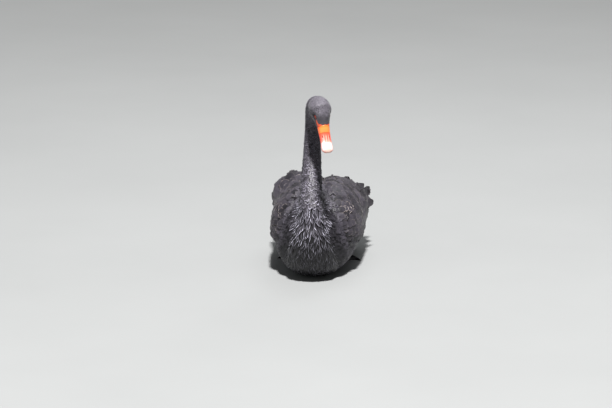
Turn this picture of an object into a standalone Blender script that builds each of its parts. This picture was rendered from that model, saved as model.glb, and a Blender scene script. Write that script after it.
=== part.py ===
"""A life-size black swan, still, in the pose of one that swims with its neck up and its bill down.

It sits on its belly with its feet tucked under. Metres, +Z up. The swan faces -Y, its left is +X,
and the origin is on the floor under the middle of the belly.
"""

import math

import bmesh
import bpy
from mathutils import Matrix, Vector

# Driving dimensions, in metres
HALF_WIDTH = 0.120
BREAST_Y = -0.308
TRUNK_LENGTH = 0.593
BACK_Z = 0.236
TAIL_TIP_Y = 0.392
BILL_LENGTH = 0.0735
EYE_RADIUS = 0.0068
GAP = 0.0003

# The head's frame: the middle of the bill's base, and how the head is turned and bent down
BILL_BASE = Vector((0.0430, -0.343, 0.4620))
HEAD_YAW = math.radians(24)
HEAD_PITCH = math.radians(56)
FORWARD = Vector(
    (
        math.cos(HEAD_PITCH) * math.sin(HEAD_YAW),
        -math.cos(HEAD_PITCH) * math.cos(HEAD_YAW),
        -math.sin(HEAD_PITCH),
    )
)
HEAD_LEFT = Vector((math.cos(HEAD_YAW), math.sin(HEAD_YAW), 0))
CROWN = FORWARD.cross(HEAD_LEFT)

# The trunk's cross-sections, as shares of its length, half width and back height:
# how far back, half width, underside, top, and the height where it is widest
TRUNK_SECTIONS = (
    (0.000, 0.09, 0.560, 0.640, 0.600),
    (0.005, 0.19, 0.480, 0.710, 0.585),
    (0.022, 0.34, 0.350, 0.800, 0.550),
    (0.055, 0.50, 0.225, 0.890, 0.500),
    (0.110, 0.665, 0.100, 0.960, 0.460),
    (0.200, 0.86, 0.005, 0.995, 0.425),
    (0.330, 0.98, -0.025, 1.000, 0.415),
    (0.450, 1.00, -0.025, 0.980, 0.415),
    (0.600, 0.955, -0.010, 0.925, 0.430),
    (0.730, 0.81, 0.060, 0.860, 0.470),
    (0.850, 0.59, 0.205, 0.785, 0.515),
    (0.940, 0.37, 0.350, 0.725, 0.550),
    (1.000, 0.18, 0.450, 0.665, 0.570),
)
BELLY_SQUARENESS = 2.35
TRUNK_SIDES = 36
TRUNK_RINGS = 20
# How much closer together the rings are towards the breast, and towards the bill's tip
BREAST_CROWDING = 1.35
BILL_CROWDING = 1.3

# The neck's line, from inside the breast up over the nape to the base of the bill.
# After each point: half width, half depth to the nape side and half depth to the throat side
NECK_LINE = (
    ((0.000, -0.222, 0.118), 0.082, 0.060, 0.060),
    ((0.001, -0.250, 0.165), 0.056, 0.052, 0.052),
    ((0.001, -0.261, 0.215), 0.0400, 0.040, 0.043),
    ((0.0005, -0.250, 0.272), 0.0312, 0.033, 0.034),
    ((0.000, -0.225, 0.335), 0.0264, 0.028, 0.028),
    ((0.000, -0.206, 0.398), 0.0235, 0.0245, 0.0240),
    ((0.0015, -0.209, 0.452), 0.0222, 0.0225, 0.0220),
    ((0.006, -0.235, 0.490), 0.0228, 0.0225, 0.0215),
    ((0.0170, -0.271, 0.5075), 0.0265, 0.0250, 0.0225),
)
# The head, from the nape to the bill: how far behind the bill's base, then the same three
HEAD_SECTIONS = (
    (0.058, 0.0300, 0.0265, 0.0230),
    (0.044, 0.0302, 0.0268, 0.0250),
    (0.030, 0.0228, 0.0243, 0.0238),
    (0.015, 0.0198, 0.0195, 0.0192),
    (0.005, 0.0177, 0.0160, 0.0156),
    (0.0002, 0.0160, 0.0142, 0.0134),
)
# How square the head's throat side is. Two is round
JAW_SQUARENESS = 3.2
NECK_SIDES = 24
NECK_RINGS_PER_SPAN = 2.5
# Where the neck and head are parted, in spans along the line
NECK_CUTS = (("neck_lower", 0.0, 3.0), ("neck_middle", 3.0, 5.34), ("neck_upper", 5.34, 8.0))
NECK_CUT_SPAN = 0.007
HEAD_START = 8.0

# The bill along its own length: share of the length, half width, top, cutting edge, underside
BILL_SECTIONS = (
    (0.008, 0.0166, 0.0145, -0.0050, -0.0135),
    (0.15, 0.0160, 0.0105, -0.0054, -0.0134),
    (0.33, 0.0152, 0.0060, -0.0056, -0.0124),
    (0.52, 0.0150, 0.0033, -0.0054, -0.0108),
    (0.68, 0.0156, 0.0025, -0.0052, -0.0096),
    (0.82, 0.0162, 0.0020, -0.0054, -0.0090),
    (0.92, 0.0146, 0.0006, -0.0060, -0.0088),
    (0.975, 0.0098, -0.0022, -0.0070, -0.0088),
    (1.0, 0.0038, -0.0052, -0.0076, -0.0086),
)
LOWER_BILL_END = 0.93
LOWER_BILL_WIDTH = 0.86
LOWER_BILL_TAPER = 0.25
BILL_GAP = 0.0006
BILL_RINGS = 12
BILL_SIDES = 14
BILL_SIDE_ROUNDING = 0.8
BILL_TOP_ROUNDING = 0.9

EYE_BACK = 0.0285
EYE_UP = 0.0065
EYE_OUT = 0.0170

# A folded wing, from the shoulder to the tip. Shares of its length, then the angle from straight
# up of its upper and lower edges in degrees, and how thick it stands on the body
WING_START_Y = -0.222
WING_LENGTH = 0.511
WING_SECTIONS = (
    (0.00, 46, 60, 0.0030),
    (0.02, 38, 72, 0.0065),
    (0.07, 29, 86, 0.0105),
    (0.16, 20, 95, 0.0140),
    (0.30, 12, 98, 0.0165),
    (0.46, 8, 99, 0.0195),
    (0.62, 6, 99, 0.0210),
    (0.76, 6, 96, 0.0195),
    (0.88, 8, 86, 0.0155),
    (0.96, 12, 68, 0.0100),
    (1.00, 22, 50, 0.0050),
)
WING_EDGE = 0.0015
# How the thickness swells between the two edges: where the arch of a sine starts, how much of it
# there is, and how flat it is on top
WING_SWELL_START = 0.05
WING_SWELL_SPAN = 0.93
WING_SWELL_FLATNESS = 0.6
WING_STANDOFF = 0.0014
WING_RINGS = 25
WING_COLUMNS = 11
# Curled feathers that stand off the wing: share along it, share across it from the upper edge,
# how far they stand, and how wide the curl is as a share
CURLS = {
    "left": (
        (0.30, 0.20, 0.006, 0.10),
        (0.48, 0.66, 0.013, 0.055),
        (0.60, 0.84, 0.011, 0.055),
        (0.62, 0.50, 0.010, 0.060),
        (0.74, 0.68, 0.011, 0.060),
        (0.84, 0.42, 0.008, 0.050),
    ),
    "right": (
        (0.55, 0.20, 0.024, 0.12),
        (0.50, 0.46, 0.026, 0.080),
        (0.62, 0.64, 0.016, 0.055),
        (0.66, 0.34, 0.018, 0.065),
        (0.78, 0.52, 0.012, 0.060),
        (0.58, 0.84, 0.008, 0.055),
    ),
}

# Primaries: the white wing tips that show behind the curled feathers
PRIMARY_START_Y = 0.262
PRIMARY_LENGTH = 0.085
PRIMARY_X = 0.026
PRIMARY_Z = 0.168
PRIMARY_RISE = -0.026
PRIMARY_HALF_WIDTH = 0.017
PRIMARY_THICKNESS = 0.010
PRIMARY_TILT = 0.45
PRIMARY_DRAW_IN = 0.35
PRIMARY_THINNING = 0.8
PRIMARY_POINT = 2.6
PRIMARY_RINGS = 6
PRIMARY_SIDES = 10

# The tail: share of its length, half width, height of its middle, half thickness
TAIL_START_Y = 0.225
TAIL_SECTIONS = (
    (0.00, 0.032, 0.136, 0.016),
    (0.20, 0.043, 0.134, 0.0135),
    (0.45, 0.052, 0.129, 0.0095),
    (0.68, 0.052, 0.122, 0.0065),
    (0.85, 0.040, 0.117, 0.0040),
    (0.95, 0.024, 0.114, 0.0024),
    (1.00, 0.010, 0.1125, 0.0012),
)
TAIL_DROOP = 0.12
TAIL_SIDES = 20
TAIL_RINGS = 10

# A foot lies flat under the flank: the heel, the way the toes point, and how the web is drawn.
# The left foot's web from the inner side to the outer: degrees from the middle toe, how far it
# reaches, and how much of a toe's height it has
HEEL = Vector((0.058, 0.080, 0.0))
TOE_HEADING = math.radians(11)
WEB_SECTIONS = (
    (-27, 0.040, 0.30),
    (-24, 0.090, 0.75),
    (-22, 0.098, 1.00),
    (-19, 0.088, 0.60),
    (-11, 0.086, 0.30),
    (-3.5, 0.098, 0.60),
    (0, 0.112, 1.00),
    (3.5, 0.098, 0.60),
    (12, 0.090, 0.30),
    (19, 0.094, 0.60),
    (22, 0.105, 1.00),
    (24.5, 0.094, 0.75),
    (27, 0.040, 0.30),
)
TOE_HEIGHT = 0.0095
HEEL_SHARE = 0.07
SHANK_LENGTH = 0.078
SHANK_RADIUS = 0.0062
FOOT_ROOM = 0.0022
TOE_LOWERING = 0.38
FOOT_STEPS = (HEEL_SHARE, 0.14, 0.28, 0.46, 0.64, 0.80, 0.92, 1.0)
# A rod's outline: the share of its length, and of its radius there
ROD_OUTLINE = ((0.0, 0.55), (0.05, 0.9), (0.2, 1.0), (0.5, 0.93), (0.8, 0.9), (0.95, 0.72), (1.0, 0.4))
ROD_SIDES = 12

SIDES = {"left": 1, "right": -1}

COLOURS = {
    "plumage": ((0.018, 0.016, 0.017), 0.6),
    "primary_white": ((0.80, 0.79, 0.76), 0.6),
    "bill": ((0.72, 0.10, 0.04), 0.35),
    "eye": ((0.22, 0.02, 0.015), 0.1),
    "foot": ((0.030, 0.028, 0.030), 0.55),
}


def make_materials():
    """One Principled material for each finish."""
    made = {}
    for name, (colour, roughness) in COLOURS.items():
        material = bpy.data.materials.new(name)
        material.use_nodes = True
        shader = material.node_tree.nodes["Principled BSDF"]
        shader.inputs["Base Color"].default_value = (*colour, 1)
        shader.inputs["Roughness"].default_value = roughness
        made[name] = material
    return made


def along(rows, at):
    """The row at this place, eased between the rows that are listed, each led by its own place."""
    for i in range(len(rows) - 1):
        if at <= rows[i + 1][0] or i == len(rows) - 2:
            break
    before, start, end, after = (rows[max(0, min(len(rows) - 1, i + k))] for k in (-1, 0, 1, 2))
    span = end[0] - start[0]
    share = max(0.0, min(1.0, (at - start[0]) / span))
    values = []
    for k in range(1, len(start)):
        slope_in = (end[k] - before[k]) / max(end[0] - before[0], 1e-9) * span
        slope_out = (after[k] - start[k]) / max(after[0] - start[0], 1e-9) * span
        values.append(hermite(start[k], end[k], slope_in, slope_out, share))
    return values


def hermite(a, b, slope_a, slope_b, share):
    """A cubic from a to b with those slopes at its ends."""
    s2, s3 = share * share, share**3
    return (
        a * (2 * s3 - 3 * s2 + 1)
        + slope_a * (s3 - 2 * s2 + share)
        + b * (3 * s2 - 2 * s3)
        + slope_b * (s3 - s2)
    )


def loft(name, rings, material, curved_ends=False):
    """A closed mesh through rings of points. An end that isn't flat is closed strip by strip."""
    mesh = bmesh.new()
    loops = [[mesh.verts.new(p) for p in ring] for ring in rings]
    for low, high in zip(loops, loops[1:]):
        for i in range(len(low)):
            j = (i + 1) % len(low)
            mesh.faces.new((low[i], low[j], high[j], high[i]))
    for end in (loops[0], loops[-1]):
        if curved_ends:
            for i in range(len(end) // 2 - 1):
                mesh.faces.new((end[i], end[i + 1], end[-i - 2], end[-i - 1]))
        else:
            mesh.faces.new(end)
    bmesh.ops.recalc_face_normals(mesh, faces=mesh.faces)
    return object_from(name, mesh, material)


def object_from(name, mesh, material):
    """A smooth-shaded object that holds this bmesh."""
    data = bpy.data.meshes.new(name)
    mesh.to_mesh(data)
    mesh.free()
    data.shade_smooth()
    if material:
        data.materials.append(material)
    made = bpy.data.objects.new(name, data)
    bpy.context.scene.collection.objects.link(made)
    return made


def make_faces_flat(obj):
    """Splits an object's faces into triangles, since four corners needn't lie in one plane."""
    mesh = bmesh.new()
    mesh.from_mesh(obj.data)
    bmesh.ops.triangulate(mesh, faces=mesh.faces)
    mesh.to_mesh(obj.data)
    mesh.free()


def as_cutter(obj):
    """Keeps an object as a helper that isn't part of the swan."""
    obj.hide_render = True
    obj.display_type = "WIRE"
    return obj


def cut_away(obj, cutter):
    """Takes the cutter's room out of an object."""
    step = obj.modifiers.new(cutter.name, "BOOLEAN")
    step.operation = "DIFFERENCE"
    step.solver = "EXACT"
    step.object = cutter


def trunk_row(y):
    """Half width, underside, top and widest height of the trunk there."""
    half, low, high, wide = along(TRUNK_SECTIONS, (y - BREAST_Y) / TRUNK_LENGTH)
    return half * HALF_WIDTH, low * BACK_Z, high * BACK_Z, wide * BACK_Z


def trunk_point(y, angle, grow=0.0):
    """A point on the trunk: angle is 0 on top and turns to the swan's left. Also the way out there."""
    half, low, high, wide = trunk_row(y)
    half, low, high = half + grow, low - grow, high + grow
    above = math.cos(angle) >= 0
    height = (high - wide) if above else (wide - low)
    power = 1.0 if above else 2 / BELLY_SQUARENESS
    sine, cosine = math.sin(angle), math.cos(angle)
    x = half * math.copysign(abs(sine) ** power, sine)
    z = wide + height * math.copysign(abs(cosine) ** power, cosine)
    outward = Vector((sine / half, 0, cosine / height)).normalized()
    return Vector((x, y, z)), outward


def trunk_rings(grow=0.0):
    """Rings from the breast to the rump, closer together where the breast rounds off."""
    rings = []
    for i in range(TRUNK_RINGS + 1):
        y = BREAST_Y + TRUNK_LENGTH * (i / TRUNK_RINGS) ** BREAST_CROWDING
        turn = 2 * math.pi / TRUNK_SIDES
        rings.append([trunk_point(y, k * turn, grow)[0] for k in range(TRUNK_SIDES)])
    return rings


def make_trunk(materials):
    """The trunk, with its belly cut flat where it rests on the floor."""
    trunk = loft("trunk", trunk_rings(), materials["plumage"])
    mesh = bmesh.new()
    mesh.from_mesh(trunk.data)
    everything = mesh.verts[:] + mesh.edges[:] + mesh.faces[:]
    bmesh.ops.bisect_plane(
        mesh, geom=everything, dist=1e-6, plane_co=(0, 0, 0), plane_no=(0, 0, -1), clear_outer=True
    )
    rim = [e for e in mesh.edges if e.is_boundary]
    bmesh.ops.contextual_create(mesh, geom=rim)
    bmesh.ops.recalc_face_normals(mesh, faces=mesh.faces)
    mesh.to_mesh(trunk.data)
    mesh.free()
    return trunk


def neck_rows():
    """The neck's and head's line as rows that along() reads, led by the span's number."""
    rows = [(i, *centre, *sizes) for i, (centre, *sizes) in enumerate(NECK_LINE)]
    for i, (back, *sizes) in enumerate(HEAD_SECTIONS):
        rows.append((HEAD_START + 1 + i, *(BILL_BASE - FORWARD * back), *sizes))
    return rows


def neck_ring(rows, at, grow=0.0):
    """A ring across the neck or head. It turns with the head's yaw as it comes up to the nape."""
    x, y, z, half, nape, throat = along(rows, at)
    step = 0.02
    ahead, behind = along(rows, min(at + step, rows[-1][0])), along(rows, max(at - step, 0))
    heading = (Vector(ahead[:3]) - Vector(behind[:3])).normalized()
    if at >= HEAD_START + 1:
        heading = FORWARD
    share = max(0.0, min(1.0, (at - HEAD_START + 3) / 4))
    yaw = HEAD_YAW * share * share * (3 - 2 * share)
    left = Vector((math.cos(yaw), math.sin(yaw), 0))
    left = (left - heading * left.dot(heading)).normalized()
    back = heading.cross(left)
    ring = []
    for k in range(NECK_SIDES):
        turn = 2 * math.pi * k / NECK_SIDES
        sine, cosine = math.sin(turn), math.cos(turn)
        depth = nape if cosine > 0 else throat
        power = 2 / (2 + (JAW_SQUARENESS - 2) * share) if cosine < 0 else 1.0
        out = (half + grow) * math.copysign(abs(sine) ** power, sine)
        up = (depth + grow) * math.copysign(abs(cosine) ** power, cosine)
        ring.append(Vector((x, y, z)) + left * out + back * up)
    return ring


def neck_piece(name, start, end, material, grow=0.0):
    """The stretch of the neck or head between two places on the line."""
    rows = neck_rows()
    count = max(2, round((end - start) * NECK_RINGS_PER_SPAN))
    rings = [neck_ring(rows, start + (end - start) * i / count, grow) for i in range(count + 1)]
    return loft(name, rings, material)


def make_neck(materials, trunk_cutter):
    """Three lengths of neck, parted by thin cuts across the line. The lowest is set on the trunk."""
    for name, start, end in NECK_CUTS:
        piece = neck_piece(name, start, end - NECK_CUT_SPAN, materials["plumage"])
        if name == "neck_lower":
            cut_away(piece, trunk_cutter)
    return as_cutter(neck_piece("neck_room", NECK_CUTS[0][1], NECK_CUTS[0][2], None, GAP))


def head_point(ahead, up, out=0.0):
    """A point in the head's own frame, from the middle of the bill's base."""
    return BILL_BASE + FORWARD * ahead + CROWN * up + HEAD_LEFT * out


def ball(name, centre, radius, material=None, rings=6):
    """A small sphere."""
    mesh = bmesh.new()
    matrix = Matrix.Translation(centre)
    bmesh.ops.create_uvsphere(
        mesh, u_segments=2 * rings, v_segments=rings, radius=radius, matrix=matrix
    )
    return object_from(name, mesh, material)


def make_head(materials):
    """The head, with a socket for each eye, and the eyes in them."""
    last = HEAD_START + len(HEAD_SECTIONS)
    head = neck_piece("head", HEAD_START, last, materials["plumage"])
    make_faces_flat(head)
    for side, sign in SIDES.items():
        centre = head_point(-EYE_BACK, EYE_UP, EYE_OUT * sign)
        ball(f"eye_{side}", centre, EYE_RADIUS, materials["eye"])
        socket = as_cutter(ball(f"socket_{side}", centre, EYE_RADIUS + 2 * GAP))
        cut_away(head, socket)
    return head


def bill_ring(share, half, top, bottom):
    """A ring across one half of the bill, rounded above or below the cutting edge."""
    middle, height = (top + bottom) / 2, (top - bottom) / 2
    ring = []
    for k in range(BILL_SIDES):
        turn = 2 * math.pi * k / BILL_SIDES
        sine, cosine = math.sin(turn), math.cos(turn)
        out = half * math.copysign(abs(sine) ** BILL_SIDE_ROUNDING, sine)
        up = middle + height * math.copysign(abs(cosine) ** BILL_TOP_ROUNDING, cosine)
        ring.append(head_point(BILL_LENGTH * share, up, out))
    return ring


def make_bill(materials):
    """The upper and lower halves of the closed bill."""
    upper, lower = [], []
    start, end = BILL_SECTIONS[0][0], BILL_SECTIONS[-1][0]
    for i in range(BILL_RINGS + 1):
        share = start + (end - start) * (1 - (1 - i / BILL_RINGS) ** BILL_CROWDING)
        half, top, edge, _ = along(BILL_SECTIONS, share)
        upper.append(bill_ring(share, half, top, edge))
        low_share = share * LOWER_BILL_END
        half, _, edge, under = along(BILL_SECTIONS, low_share)
        narrow = LOWER_BILL_WIDTH - LOWER_BILL_TAPER * max(0.0, share - 0.8) / 0.2
        lower.append(bill_ring(low_share, half * narrow, edge - BILL_GAP, under))
    loft("bill_upper", upper, materials["bill"])
    loft("bill_lower", lower, materials["bill"])


def curl_height(side, along_it, across):
    """How far the curled feathers stand off the wing there."""
    total = 0.0
    for at, over, height, width in CURLS[side]:
        far = ((along_it - at) / width) ** 2 + ((across - over) / (width * 2.2)) ** 2
        total += height * math.exp(-far)
    return total


def wing_ring(share, side, grow=0.0):
    """A thin crescent across the folded wing, on the trunk's side, with its curled feathers."""
    sign = SIDES[side]
    top, bottom, thick = along(WING_SECTIONS, share)
    top, bottom = top - math.degrees(grow / HALF_WIDTH), bottom + math.degrees(grow / HALF_WIDTH)
    y = WING_START_Y + WING_LENGTH * share
    inner, outer = [], []
    for k in range(WING_COLUMNS + 1):
        across = k / WING_COLUMNS
        angle = math.radians(top + (bottom - top) * across)
        base, outward = trunk_point(y, angle)
        arch = math.pi * (WING_SWELL_START + across * WING_SWELL_SPAN)
        swell = math.sin(arch) ** WING_SWELL_FLATNESS
        thickness = WING_EDGE + (thick - WING_EDGE + curl_height(side, share, across)) * swell
        inner.append(base + outward * (WING_STANDOFF - grow))
        outer.append(base + outward * (WING_STANDOFF + thickness + grow))
    ring = outer + inner[::-1]
    return [Vector((p.x * sign, p.y, p.z)) for p in ring]


def make_wings(materials, neck_cutter):
    """The two folded wings, each a shell on the side of the back. Gives back room for each."""
    rooms = {}
    for side in SIDES:
        shares = [i / WING_RINGS for i in range(WING_RINGS + 1)]
        rings = [wing_ring(share, side) for share in shares]
        wing = loft(f"wing_{side}", rings, materials["plumage"])
        cut_away(wing, neck_cutter)
        grown = [wing_ring(share, side, 3 * GAP) for share in shares]
        grown.append([p + Vector((0, 3 * GAP, 0)) for p in grown[-1]])
        rooms[side] = as_cutter(loft(f"wing_room_{side}", grown, None))
    return rooms


def primary_ring(share, sign):
    """A ring across a folded wing tip."""
    half = PRIMARY_HALF_WIDTH * math.sqrt(max(0.02, 1 - share**PRIMARY_POINT))
    thick = PRIMARY_THICKNESS * (1 - PRIMARY_THINNING * share)
    x = sign * PRIMARY_X * (1 - PRIMARY_DRAW_IN * share)
    y = PRIMARY_START_Y + PRIMARY_LENGTH * share
    centre = Vector((x, y, PRIMARY_Z + PRIMARY_RISE * share))
    tilt = -sign * PRIMARY_TILT
    across = Vector((math.cos(tilt), 0, math.sin(tilt))) * half
    up = Vector((-math.sin(tilt), 0, math.cos(tilt))) * thick / 2
    turns = [2 * math.pi * k / PRIMARY_SIDES for k in range(PRIMARY_SIDES)]
    return [centre + across * math.cos(turn) + up * math.sin(turn) for turn in turns]


def make_primaries(materials, trunk_cutter, wing_rooms):
    """The folded white wing tips, thin blades that lie along the rump behind the wings."""
    for side, sign in SIDES.items():
        rings = [primary_ring(i / PRIMARY_RINGS, sign) for i in range(PRIMARY_RINGS + 1)]
        blade = loft(f"primaries_{side}", rings, materials["primary_white"])
        cut_away(blade, trunk_cutter)
        cut_away(blade, wing_rooms[side])


def make_tail(materials, trunk_cutter):
    """The tail, a flat fan with a rounded end."""
    length = TAIL_TIP_Y - TAIL_START_Y
    rings = []
    for i in range(TAIL_RINGS + 1):
        share = i / TAIL_RINGS
        half, middle, thick = along(TAIL_SECTIONS, share)
        ring = []
        for k in range(TAIL_SIDES):
            turn = 2 * math.pi * k / TAIL_SIDES
            droop = -TAIL_DROOP * half * math.sin(turn) ** 2
            x, z = half * math.sin(turn), middle + droop + thick * math.cos(turn)
            ring.append(Vector((x, TAIL_START_Y + length * share, z)))
        rings.append(ring)
    tail = loft("tail", rings, materials["plumage"])
    cut_away(tail, trunk_cutter)


def rod(name, start, end, radius_start, radius_end, material=None):
    """A tapered round rod, flattened where it would go below the floor."""
    axis = (end - start).normalized()
    side = axis.cross(Vector((0, 0, 1))).normalized()
    up = side.cross(axis)
    rings = []
    for share, size in ROD_OUTLINE:
        radius = (radius_start + (radius_end - radius_start) * share) * size
        ring = []
        for k in range(ROD_SIDES):
            turn = 2 * math.pi * k / ROD_SIDES
            offset = side * radius * math.cos(turn) + up * radius * math.sin(turn)
            point = start.lerp(end, share) + offset
            ring.append(Vector((point.x, point.y, max(0.0, point.z))))
        rings.append(ring)
    return loft(name, rings, material)


def toward(degrees, sign):
    """The way a toe points at this angle from the middle toe, for the left or the right foot."""
    turn = TOE_HEADING + math.radians(degrees)
    return Vector((sign * math.sin(turn), -math.cos(turn), 0))


def foot_ring(share, sign):
    """A strip across the foot that far out to the toes' tips, ridged by the toes."""
    top, bottom = [], []
    lift = 1 - TOE_LOWERING * share
    heel = Vector((HEEL.x * sign, HEEL.y, 0))
    for degrees, reach, height in WEB_SECTIONS:
        point = heel + toward(degrees, sign) * reach * share
        bottom.append(point)
        top.append(point + Vector((0, 0, TOE_HEIGHT * lift * height)))
    return top + bottom[::-1]


def slab(name, outline, bottom, top):
    """A flat plate with this outline."""
    rings = [[Vector((p.x, p.y, z)) for p in outline] for z in (bottom, top)]
    return loft(name, rings, None)


def make_feet(materials, trunk):
    """The webbed feet, tucked under the flanks, with the legs that lie behind them."""
    for side, sign in SIDES.items():
        rings = [foot_ring(share, sign) for share in FOOT_STEPS]
        foot = loft(f"foot_{side}", rings, materials["foot"], curved_ends=True)
        make_faces_flat(foot)
        heel = Vector((HEEL.x * sign, HEEL.y, SHANK_RADIUS))
        back = Vector((-0.12 * sign, 1, 0)).normalized()
        hock = heel + back * SHANK_LENGTH
        rod(f"leg_{side}", heel, hock, SHANK_RADIUS * 0.9, SHANK_RADIUS, materials["foot"])
        make_foot_room(trunk, side, sign, heel, back)


def make_foot_room(trunk, side, sign, heel, back):
    """Hollows the trunk's underside over a foot and its leg."""
    first, middle, last = WEB_SECTIONS[2], WEB_SECTIONS[6], WEB_SECTIONS[10]
    across = Vector((back.y, -back.x, 0)) * (SHANK_RADIUS + FOOT_ROOM) * sign
    behind = heel + back * (SHANK_LENGTH + SHANK_RADIUS + FOOT_ROOM)
    outline = [behind + across, heel + across * 1.6]
    for degrees, reach, _ in (last, middle, first):
        outline.append(heel + toward(degrees * 1.12, sign) * (reach + 2 * FOOT_ROOM))
    outline += [heel - across * 1.6, behind - across]
    room = slab(f"foot_room_{side}", outline, -0.01, SHANK_RADIUS * 2 + FOOT_ROOM)
    cut_away(trunk, as_cutter(room))


def main():
    for obj in list(bpy.data.objects):
        bpy.data.objects.remove(obj, do_unlink=True)
    materials = make_materials()
    trunk_cutter = as_cutter(loft("trunk_room", trunk_rings(GAP), None))
    trunk = make_trunk(materials)
    neck_cutter = make_neck(materials, trunk_cutter)
    make_head(materials)
    make_bill(materials)
    wing_rooms = make_wings(materials, neck_cutter)
    make_primaries(materials, trunk_cutter, wing_rooms)
    make_tail(materials, trunk_cutter)
    make_feet(materials, trunk)


main()
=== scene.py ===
"""The look of a life-size black swan: one skin, the feathers that lie over it, bill, eyes and feet.

Metres, +Z up. The swan faces -Y and its left is +X.
"""

import math

import bpy
import numpy as np
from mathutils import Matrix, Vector
from mathutils.bvhtree import BVHTree
from mathutils.kdtree import KDTree


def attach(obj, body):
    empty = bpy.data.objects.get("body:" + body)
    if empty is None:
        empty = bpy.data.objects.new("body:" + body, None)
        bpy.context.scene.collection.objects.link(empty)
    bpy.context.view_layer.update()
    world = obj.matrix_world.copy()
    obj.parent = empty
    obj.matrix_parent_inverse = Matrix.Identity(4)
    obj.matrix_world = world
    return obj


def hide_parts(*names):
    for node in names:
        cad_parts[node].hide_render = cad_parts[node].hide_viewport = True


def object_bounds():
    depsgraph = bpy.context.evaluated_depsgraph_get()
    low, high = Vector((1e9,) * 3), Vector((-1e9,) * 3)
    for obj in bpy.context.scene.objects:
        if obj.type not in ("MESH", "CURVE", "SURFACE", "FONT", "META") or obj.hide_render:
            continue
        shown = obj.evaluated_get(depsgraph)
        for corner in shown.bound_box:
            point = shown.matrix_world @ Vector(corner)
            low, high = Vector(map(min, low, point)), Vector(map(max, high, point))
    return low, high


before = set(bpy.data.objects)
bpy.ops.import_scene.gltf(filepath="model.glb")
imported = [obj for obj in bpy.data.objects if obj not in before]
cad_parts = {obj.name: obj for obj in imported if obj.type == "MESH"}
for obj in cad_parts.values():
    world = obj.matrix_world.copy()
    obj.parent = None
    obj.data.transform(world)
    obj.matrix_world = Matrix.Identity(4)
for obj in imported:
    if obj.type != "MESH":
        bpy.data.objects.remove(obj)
CAD_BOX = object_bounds()

# The camera, and where it sees the middle of the breast in a picture of 612 by 408
CAMERA_AZIMUTH = math.radians(5.5)
CAMERA_ELEVATION = math.radians(14)
CAMERA_DISTANCE = 9.0
CAMERA_LENS = 192.5
SENSOR_WIDTH = 36.0
PICTURE = (612, 408)
BREAST_POINT = Vector((0, -0.295, 0.088))
BREAST_PIXEL = (309.5, 255.5)
FLOOR_HALF = 14.0

# The head's frame, from the middle of the bill's base
BILL_BASE = np.array((0.0430, -0.343, 0.4620))
HEAD_YAW = math.radians(24)
HEAD_PITCH = math.radians(56)

# The line down the middle of the neck, from the nape to the breast. It starts in the head, this
# far behind the bill's base. Places this far out from it begin, or have wholly come, to be the body
NECK_POINTS = (
    (0.0170, -0.271, 0.5075),
    (0.006, -0.235, 0.490),
    (0.0015, -0.209, 0.452),
    (0.000, -0.206, 0.398),
    (0.000, -0.225, 0.335),
    (0.0005, -0.250, 0.272),
    (0.001, -0.261, 0.215),
    (0.001, -0.250, 0.165),
    (0.000, -0.222, 0.118),
)
HEAD_BACKS = (0.0, 0.029, 0.058)
NECK_REACH = (0.09, 0.13)
SPINE_STEPS = 24

# The skin's grid, how far the solids are pushed out before they are joined, and how thick the
# coat of feathers over it is on the head, neck, bib and body
SKIN_VOXEL = 0.0028
SKIN_GROW = 0.0010
HEAD_DEPTH = 0.0011
NECK_DEPTH = 0.0034
BIB_DEPTH = 0.0055
BODY_DEPTH = 0.0095
FLESH = ("trunk", "tail", "wing_left", "wing_right", "neck_lower", "neck_middle", "neck_upper", "head")
WING_NODES = ("wing_left", "wing_right")

# The eyes: radius, how far behind the bill's base, above it and out from the middle they are, how
# deep they sit, and half the opening between the lids across and up, in radians
EYE_RADIUS = 0.0068
EYE_BACK = 0.0285
EYE_UP = 0.0065
EYE_OUT = 0.0170
EYE_SUNK = 0.0013
EYE_OPENING = (0.70, 0.57)

# The bill along its length: share, half width, top, cutting edge, underside
BILL_LENGTH = 0.0735
BILL_SECTIONS = (
    (0.008, 0.0166, 0.0145, -0.0050, -0.0135),
    (0.15, 0.0160, 0.0105, -0.0054, -0.0134),
    (0.33, 0.0152, 0.0060, -0.0056, -0.0124),
    (0.52, 0.0150, 0.0033, -0.0054, -0.0108),
    (0.68, 0.0156, 0.0025, -0.0052, -0.0096),
    (0.82, 0.0162, 0.0020, -0.0054, -0.0090),
    (0.92, 0.0146, 0.0006, -0.0060, -0.0088),
    (0.975, 0.0098, -0.0022, -0.0070, -0.0088),
    (1.0, 0.0038, -0.0052, -0.0076, -0.0086),
)
LOWER_BILL_END = 0.93

SEED = 11
SIDES = (("left", 1), ("right", -1))


def heading(azimuth, elevation):
    """The way out from the middle of the swan at an angle from its front, and up from level."""
    level = math.cos(elevation)
    return np.array((level * math.sin(azimuth), -level * math.cos(azimuth), math.sin(elevation)))


FORWARD = heading(HEAD_YAW, -HEAD_PITCH)
HEAD_LEFT = np.array((math.cos(HEAD_YAW), math.sin(HEAD_YAW), 0.0))
CROWN = np.cross(FORWARD, HEAD_LEFT)


def unit(vectors):
    """Vectors of length one."""
    return vectors / np.maximum(np.linalg.norm(vectors, axis=-1, keepdims=True), 1e-12)


def dot(a, b):
    """Row by row dot product."""
    return np.sum(a * b, axis=-1)


def ease(value, low, high):
    """0 below low, 1 above high, and smooth between them. low may be the higher one."""
    share = np.clip((value - low) / (high - low), 0, 1)
    return share * share * (3 - 2 * share)


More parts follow.
